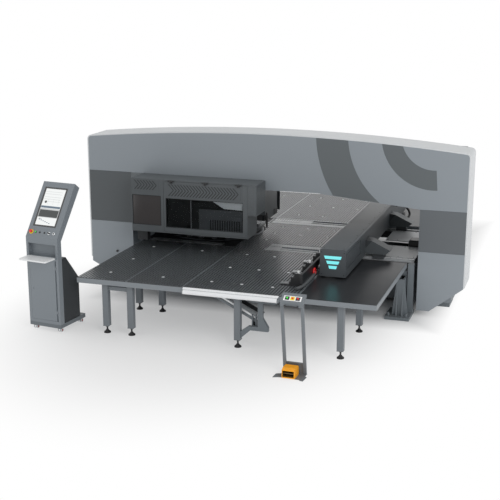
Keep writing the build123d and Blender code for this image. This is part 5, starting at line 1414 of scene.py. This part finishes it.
@dataclass
class Console:
    """Operator console: leaning head with screen and buttons, shelf, door, rear box, plinth and casters."""

    place: Placement = Placement.turned(-2061.0, -3159.0, -7.0)
    width: float = 470.0
    bend: float = 1217.0
    lean: float = 437.0
    height: float = 1842.0
    screen: tuple[float, float, float, float] = (65.0, 315.0, 165.0, 510.0)
    box_heights: tuple[float, float] = (954.0, 631.0)
    box_shoulder: float = 181.0
    box_slope: float = 1.2189

    def head(self) -> Placement:
        """Axes on the leaning face: x to the right, y up the face, z outwards."""
        rise = self.height - self.bend
        length = math.hypot(self.lean, rise)
        up, out = (0.0, self.lean / length, rise / length), (0.0, -rise / length, self.lean / length)
        return self.place.then(Placement((-self.width, 0.0, self.bend), (1.0, 0.0, 0.0), up, out))

    def page(self) -> None:
        """Screen page of plain windows: a pale sheet with ruled lines, a dark band and a lower panel."""
        left, wide, low, tall = self.screen
        shell = Shell(self.head())

        def patch(u0: float, u1: float, v0: float, v1: float, tone: int, lift: float = 0.4) -> None:
            """A patch between shares of the screen's width and height."""
            shell.add(box(left + wide * u0, left + wide * u1, low + tall * v0, low + tall * v1,
                          0.05, lift, 0.1), tone)

        patch(0.04, 0.97, 0.46, 0.985, 0)
        patch(0.04, 0.97, 0.015, 0.215, 0)
        patch(0.04, 0.97, 0.215, 0.46, 1, 0.3)
        patch(0.06, 0.95, 0.23, 0.42, 2)
        patch(0.05, 0.96, 0.47, 0.525, 3, 0.6)
        for v in (0.90, 0.84, 0.76, 0.70, 0.64):
            patch(0.08, 0.86, v, v + 0.008, 1, 0.6)
        for u in (0.3, 0.55, 0.8):
            patch(u, u + 0.008, 0.56, 0.72, 1, 0.6)
        for k in range(6):
            patch(0.14 + 0.1 * k, 0.2 + 0.1 * k, 0.15 - 0.018 * k, 0.17 - 0.018 * k, 3, 0.6)
        for k in range(3):
            patch(0.12 + 0.05 * k, 0.15 + 0.05 * k, 0.17, 0.185, 2, 0.6)
        dot = (left + wide * 0.2, low + tall * 0.63, 0)
        shell.add(lathe([(0, 0.1), (17, 0.1), (17, 0.7), (0, 0.7)], dot, "z", 28), 2)
        piece("screen_page", "machine", (Finishes.screen_white, Finishes.screen_line, Finishes.screen_dark,
                                         Finishes.screen_blue), shell)

    def buttons(self) -> None:
        """Buttons and rings of the row that the CAD doesn't carry, and collars round the rest."""
        head = self.head()
        row = 72.0
        shell = Shell(head)
        for u, radius, tone in ((188.0, 11.0, 0), (258.0, 11.0, 0), (395.0, 17.0, 1)):
            cap = [(0, -0.5), (radius, -0.5), (radius, 4), (radius - 2, 6), (0, 6)]
            shell.add(lathe(cap, (u, row, 0), "z", 24), tone)
        shell.add(lathe([(0, 5), (10, 5), (10, 8), (0, 8)], (395.0, row, 0), "z", 24), 0)
        for u, radius, tone in ((60.0, 30.0, 2), (127.0, 13.5, 0), (324.0, 19.0, 1)):
            inside = radius * 0.62
            collar = [(inside, -0.5), (radius, -0.5), (radius, 1.6), (radius - 1, 2.4), (inside, 2.4)]
            shell.add(lathe(collar, (u, row, 0), "z", 32, loop=True), tone)
        piece("console_row", "machine", (Finishes.black_plastic, Finishes.chrome, Finishes.yellow), shell)

    def build(self) -> None:
        """Dresses the console and adds the page, the buttons, the caster discs and the rear fins."""
        dress("console_body", Finishes.console_grey)
        dress("console_door", Finishes.console_grey)
        dress("console_screen", Finishes.screen_glass)
        plinth = (Finishes.frame_grey, lambda p: p[:, 2] < 111)
        dress("console_base", Finishes.console_dark, plinth, place=self.place)
        dress("console_tray", Finishes.shelf_pale)
        dress("console_estop", Finishes.red)
        dress("console_start", Finishes.green)
        dress("console_selector", Finishes.black_plastic)
        for number in range(1, 5):
            dress(f"caster_{number}", Finishes.chrome)
        self.page()
        self.buttons()
        self.wheels()
        fins = Shell(self.place)
        for w in np.arange(100.0, 440.0, 17.0):
            top = self.box_heights[0] - max(0.0, w - self.box_shoulder) * self.box_slope
            fins.add(box(-14, -9.6, w, w + 9, 128, top - 16, 1.2))
            fins.add(box(-self.width + 9.6, -self.width + 14, w, w + 9, 128, top - 16, 1.2))
        piece("console_rear_fins", "machine", Finishes.console_dark, fins)

    def wheels(self) -> None:
        """Twin wheel discs, each a pale tyre with a red hub, riding on each caster."""
        u0, u1 = -self.width + 50.0, -50.0
        spots = [(u0, 50.0), (u1, 50.0), (u1, 491.0), (u0, 491.0)]
        side = [(26.6, 17.0), (26.6, 25.0), (24.5, 27.0), (14.0, 27.0), (14.0, 17.0)]
        hub = [(0.0, 17.2), (14.0, 17.2), (14.0, 26.0), (11.0, 28.0), (5.0, 28.0), (4.0, 29.5), (0.0, 29.5)]
        tones = (Finishes.wheel_grey, Finishes.hub_red)
        for letter, (u, w) in zip("abcd", spots):
            shell = Shell(self.place)
            at = (u, w + 14.0, 27.0)
            for sign in (-1, 1):
                shell.add(lathe([(r, sign * h) for r, h in side], at, "x", 32, loop=True), 0)
                shell.add(lathe([(r, sign * h) for r, h in hub], at, "x", 24), 1)
            piece(f"caster_{letter}_discs", f"caster_{letter}", tones, shell)


@dataclass
class Pedestal:
    """Start and stop pedestal with its foot switch."""

    place: Placement = Placement.turned(1113.0, -3675.0, -1.5)
    slope: tuple[tuple[float, float], tuple[float, float]] = ((-64.0, 893.0), (28.0, 957.0))
    pitch: float = 62.0

    def face(self) -> Placement:
        """Axes on the sloped face: x to the right, y up the slope, z outwards."""
        (y0, z0), (y1, z1) = self.slope
        length = math.hypot(y1 - y0, z1 - z0)
        along, rise = (y1 - y0) / length, (z1 - z0) / length
        middle = (0.0, (y0 + y1) / 2, (z0 + z1) / 2)
        return self.place.then(Placement(middle, (1.0, 0.0, 0.0), (0.0, along, rise), (0.0, -rise, along)))

    def build(self) -> None:
        """Dresses the pedestal and foot switch, and adds turned buttons and the plate with their squares."""
        dress("pedestal_frame", Finishes.leg_paint)
        handle = (Finishes.black_plastic, lambda p: p[:, 1] < -66)
        dress("pedestal_head", Finishes.leg_paint, handle, place=self.place)
        for spot, name, body, finish in ((-1, "pedestal_start", "pedestal_go", Finishes.green),
                                         (0, "pedestal_stop", "pedestal_halt", Finishes.red),
                                         (1, "pedestal_reset", "pedestal_clear", Finishes.red)):
            knob = lathe([(0, -6), (8.6, -6), (8.6, 6.4), (11, 6.4), (11, 10.5), (9, 12.5), (0, 13)],
                         (spot * self.pitch, 0, 0), sides=32)
            made = piece(name + "_turned", body, finish, Shell(self.face()).add(knob))
            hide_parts(name)
        # The well and the pedal inside the hood take the darkened orange: painted shade.
        well = (Finishes.pedal_well_painted_shade, lambda p: (p[:, 1] > -82) & (p[:, 1] < 59)
                & (np.abs(p[:, 0] + 25) < 68) & (p[:, 2] > 17) & (p[:, 2] < 93))
        dress("foot_switch", Finishes.orange, well, place=self.place)
        dress("foot_pedal", Finishes.pedal_well_painted_shade)
        shell = Shell(self.face())
        for v0, v1 in ((-34, -13), (13, 34)):
            shell.add(box(-104, 104, v0, v1, -0.5, 1.0, 0.4), 0)
        for u0, u1 in ((-104, -75), (-49, -13), (13, 49), (75, 104)):
            shell.add(box(u0, u1, -13.5, 13.5, -0.5, 0.9, 0.2), 0)
        for k in (-1, 0, 1):
            tone, u = 2 if k == 0 else 1, k * self.pitch
            for u0, u1, v0, v1 in ((-24, 24, 12.5, 24), (-24, 24, -24, -12.5),
                                   (-24, -12.5, -13, 13), (12.5, 24, -13, 13)):
                shell.add(box(u + u0, u + u1, v0, v1, 0.6, 1.7, 0.3), tone)
            ring = [(11.7, 0.4), (17.5, 0.4), (17.5, 1.6), (16.5, 2.1), (12.4, 2.1), (11.7, 1.6)]
            shell.add(lathe(ring, (u, 0, 0), sides=32, loop=True), tone)
        tones = (Finishes.white_plate, Finishes.black_plastic, Finishes.yellow)
        piece("pedestal_plate", "machine", tones, shell)


@dataclass
class Studio:
    """Floor, world, lamps and camera, in metres and watts.

    The floor's shadow is shown in full to near, fades out at far, and each ramp is a slope and a start.
    """

    camera_at: tuple[float, float, float] = (4.145, -14.018, 4.353)
    yaw: float = 18.23
    pitch: float = 14.5
    lens: float = 76.0
    ambient: float = 0.56
    floor_radius: float = 400.0
    floor_sides: int = 96
    shade_shift: tuple[float, float, float] = (0.71, 1.3, 0.0)
    shade_scale: tuple[float, float, float] = (1.42, 1.0, 1.0)
    shade_near: float = 1.9
    shade_far: float = 4.6
    shade_least: float = 0.36
    side_ramp: tuple[float, float] = (1.8, -3.5)
    depth_ramps: tuple[tuple[float, float], ...] = ((-1.8, -1.42), (0.55, -2.0))
    lamps: tuple[tuple[str, tuple[float, ...], tuple[float, ...], float, float], ...] = (
        ("key_lamp", (6.5, -8.5, 6.0), (0.4, -1.0, 0.9), 5.0, 270.0),
        ("fill_lamp", (-8.0, -9.0, 6.0), (0.0, -1.0, 0.8), 7.0, 40.0),
        ("top_lamp", (0.0, -1.0, 9.0), (0.0, -1.0, 0.0), 7.0, 55.0))

    def world(self) -> None:
        """White where the camera, gloss and glass look, and a plain level elsewhere."""
        world = bpy.data.worlds.new("studio")
        bpy.context.scene.world = world
        world.use_nodes = True
        tree = world.node_tree
        back = tree.nodes["Background"]
        back.inputs["Color"].default_value = (1.0, 1.0, 1.0, 1.0)
        path = tree.nodes.new("ShaderNodeLightPath")
        seen = Groups.math(tree, "MAXIMUM", path.outputs["Is Camera Ray"], path.outputs["Is Glossy Ray"])
        seen = Groups.math(tree, "MAXIMUM", seen, path.outputs["Is Transmission Ray"])
        level = Groups.math(tree, "MULTIPLY_ADD", seen, 1.0 - self.ambient, self.ambient)
        tree.links.new(level, back.inputs["Strength"])

    def floor(self) -> None:
        """Round floor that is white far away and takes the object's soft shadow near it."""
        turn = np.arange(self.floor_sides) * 2 * math.pi / self.floor_sides
        rim = [(self.floor_radius * math.cos(t), self.floor_radius * math.sin(t), 0.0) for t in turn]
        mesh = bpy.data.meshes.new("floor")
        mesh.from_pydata(rim, [], [list(range(self.floor_sides))])
        made = bpy.data.objects.new("floor", mesh)
        bpy.context.scene.collection.objects.link(made)
        paint = bpy.data.materials.new("studio_floor")
        paint.use_nodes = True
        tree = paint.node_tree
        shader, out = tree.nodes["Principled BSDF"], tree.nodes["Material Output"]
        shader.inputs["Roughness"].default_value = 0.9
        shader.inputs["Specular IOR Level"].default_value = 0.0
        coords, noise = tree.nodes.new("ShaderNodeTexCoord"), tree.nodes.new("ShaderNodeTexNoise")
        noise.inputs["Scale"].default_value = 1.5
        tree.links.new(coords.outputs["Object"], noise.inputs["Vector"])
        ramp = tree.nodes.new("ShaderNodeValToRGB")
        ramp.color_ramp.elements[0].color = (0.86, 0.86, 0.86, 1)
        ramp.color_ramp.elements[1].color = (0.88, 0.88, 0.88, 1)
        tree.links.new(noise.outputs["Fac"], ramp.inputs["Fac"])
        tree.links.new(ramp.outputs["Color"], shader.inputs["Base Color"])
        shift = tree.nodes.new("ShaderNodeMapping")
        shift.inputs["Location"].default_value = self.shade_shift
        shift.inputs["Scale"].default_value = self.shade_scale
        tree.links.new(coords.outputs["Object"], shift.inputs["Vector"])
        length = tree.nodes.new("ShaderNodeVectorMath")
        length.operation = "LENGTH"
        tree.links.new(shift.outputs["Vector"], length.inputs[0])
        far = tree.nodes.new("ShaderNodeMapRange")
        far.interpolation_type = "SMOOTHSTEP"
        far.inputs["From Min"].default_value = self.shade_near
        far.inputs["From Max"].default_value = self.shade_far
        far.inputs["To Min"].default_value = self.shade_least
        tree.links.new(length.outputs["Value"], far.inputs["Value"])
        split = tree.nodes.new("ShaderNodeSeparateXYZ")
        tree.links.new(coords.outputs["Object"], split.inputs[0])
        across = Groups.math(tree, "ABSOLUTE", split.outputs["X"])
        outside = Groups.math(tree, "MULTIPLY_ADD", across, *self.side_ramp, clamp=True)
        for slope, start in self.depth_ramps:
            past = Groups.math(tree, "MULTIPLY_ADD", split.outputs["Y"], slope, start, clamp=True)
            outside = Groups.math(tree, "MAXIMUM", outside, past)
        share = Groups.math(tree, "MULTIPLY", far.outputs["Result"], outside)
        white, mix = tree.nodes.new("ShaderNodeEmission"), tree.nodes.new("ShaderNodeMixShader")
        tree.links.new(share, mix.inputs["Fac"])
        tree.links.new(shader.outputs["BSDF"], mix.inputs[1])
        tree.links.new(white.outputs["Emission"], mix.inputs[2])
        tree.links.new(mix.outputs["Shader"], out.inputs["Surface"])
        mesh.materials.append(paint)

    def lamp(self, name: str, at: tuple[float, float, float], aim: tuple[float, float, float], size: float,
             power: float) -> None:
        """Square area lamp aimed at a point, its side in metres and its power in watts."""
        data = bpy.data.lights.new(name, "AREA")
        data.size = size
        data.energy = power
        made = bpy.data.objects.new(name, data)
        bpy.context.scene.collection.objects.link(made)
        made.location = at
        run = np.array(aim) - np.array(at)
        tilt = math.acos(-run[2] / np.linalg.norm(run))
        made.rotation_euler = (tilt, 0.0, math.atan2(run[1], run[0]) - math.pi / 2)

    def build(self) -> None:
        """Makes the studio and its camera."""
        scene = bpy.context.scene
        scene.view_settings.view_transform = "Standard"
        data = bpy.data.cameras.new("camera")
        data.lens = self.lens
        data.sensor_width = 36.0
        data.clip_end = 500.0
        camera = bpy.data.objects.new("camera", data)
        scene.collection.objects.link(camera)
        camera.location = self.camera_at
        camera.rotation_euler = (math.radians(90 - self.pitch), 0.0, math.radians(self.yaw))
        scene.camera = camera
        self.world()
        self.floor()
        for name, at, aim, size, power in self.lamps:
            self.lamp(name, at, aim, size, power)


def main() -> None:
    """Builds the studio and every sub-assembly, logging each one's name."""
    logging.basicConfig(level=logging.INFO, format="%(message)s")
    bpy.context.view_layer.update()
    for part in (Studio(), Covers(), Guard(), Turret(), Tables(), Bed(), Beam(), Carriage(), Console(),
                 Pedestal()):
        log.info("building %s", type(part).__name__)
        part.build()


if __name__ == "__main__":
    main()
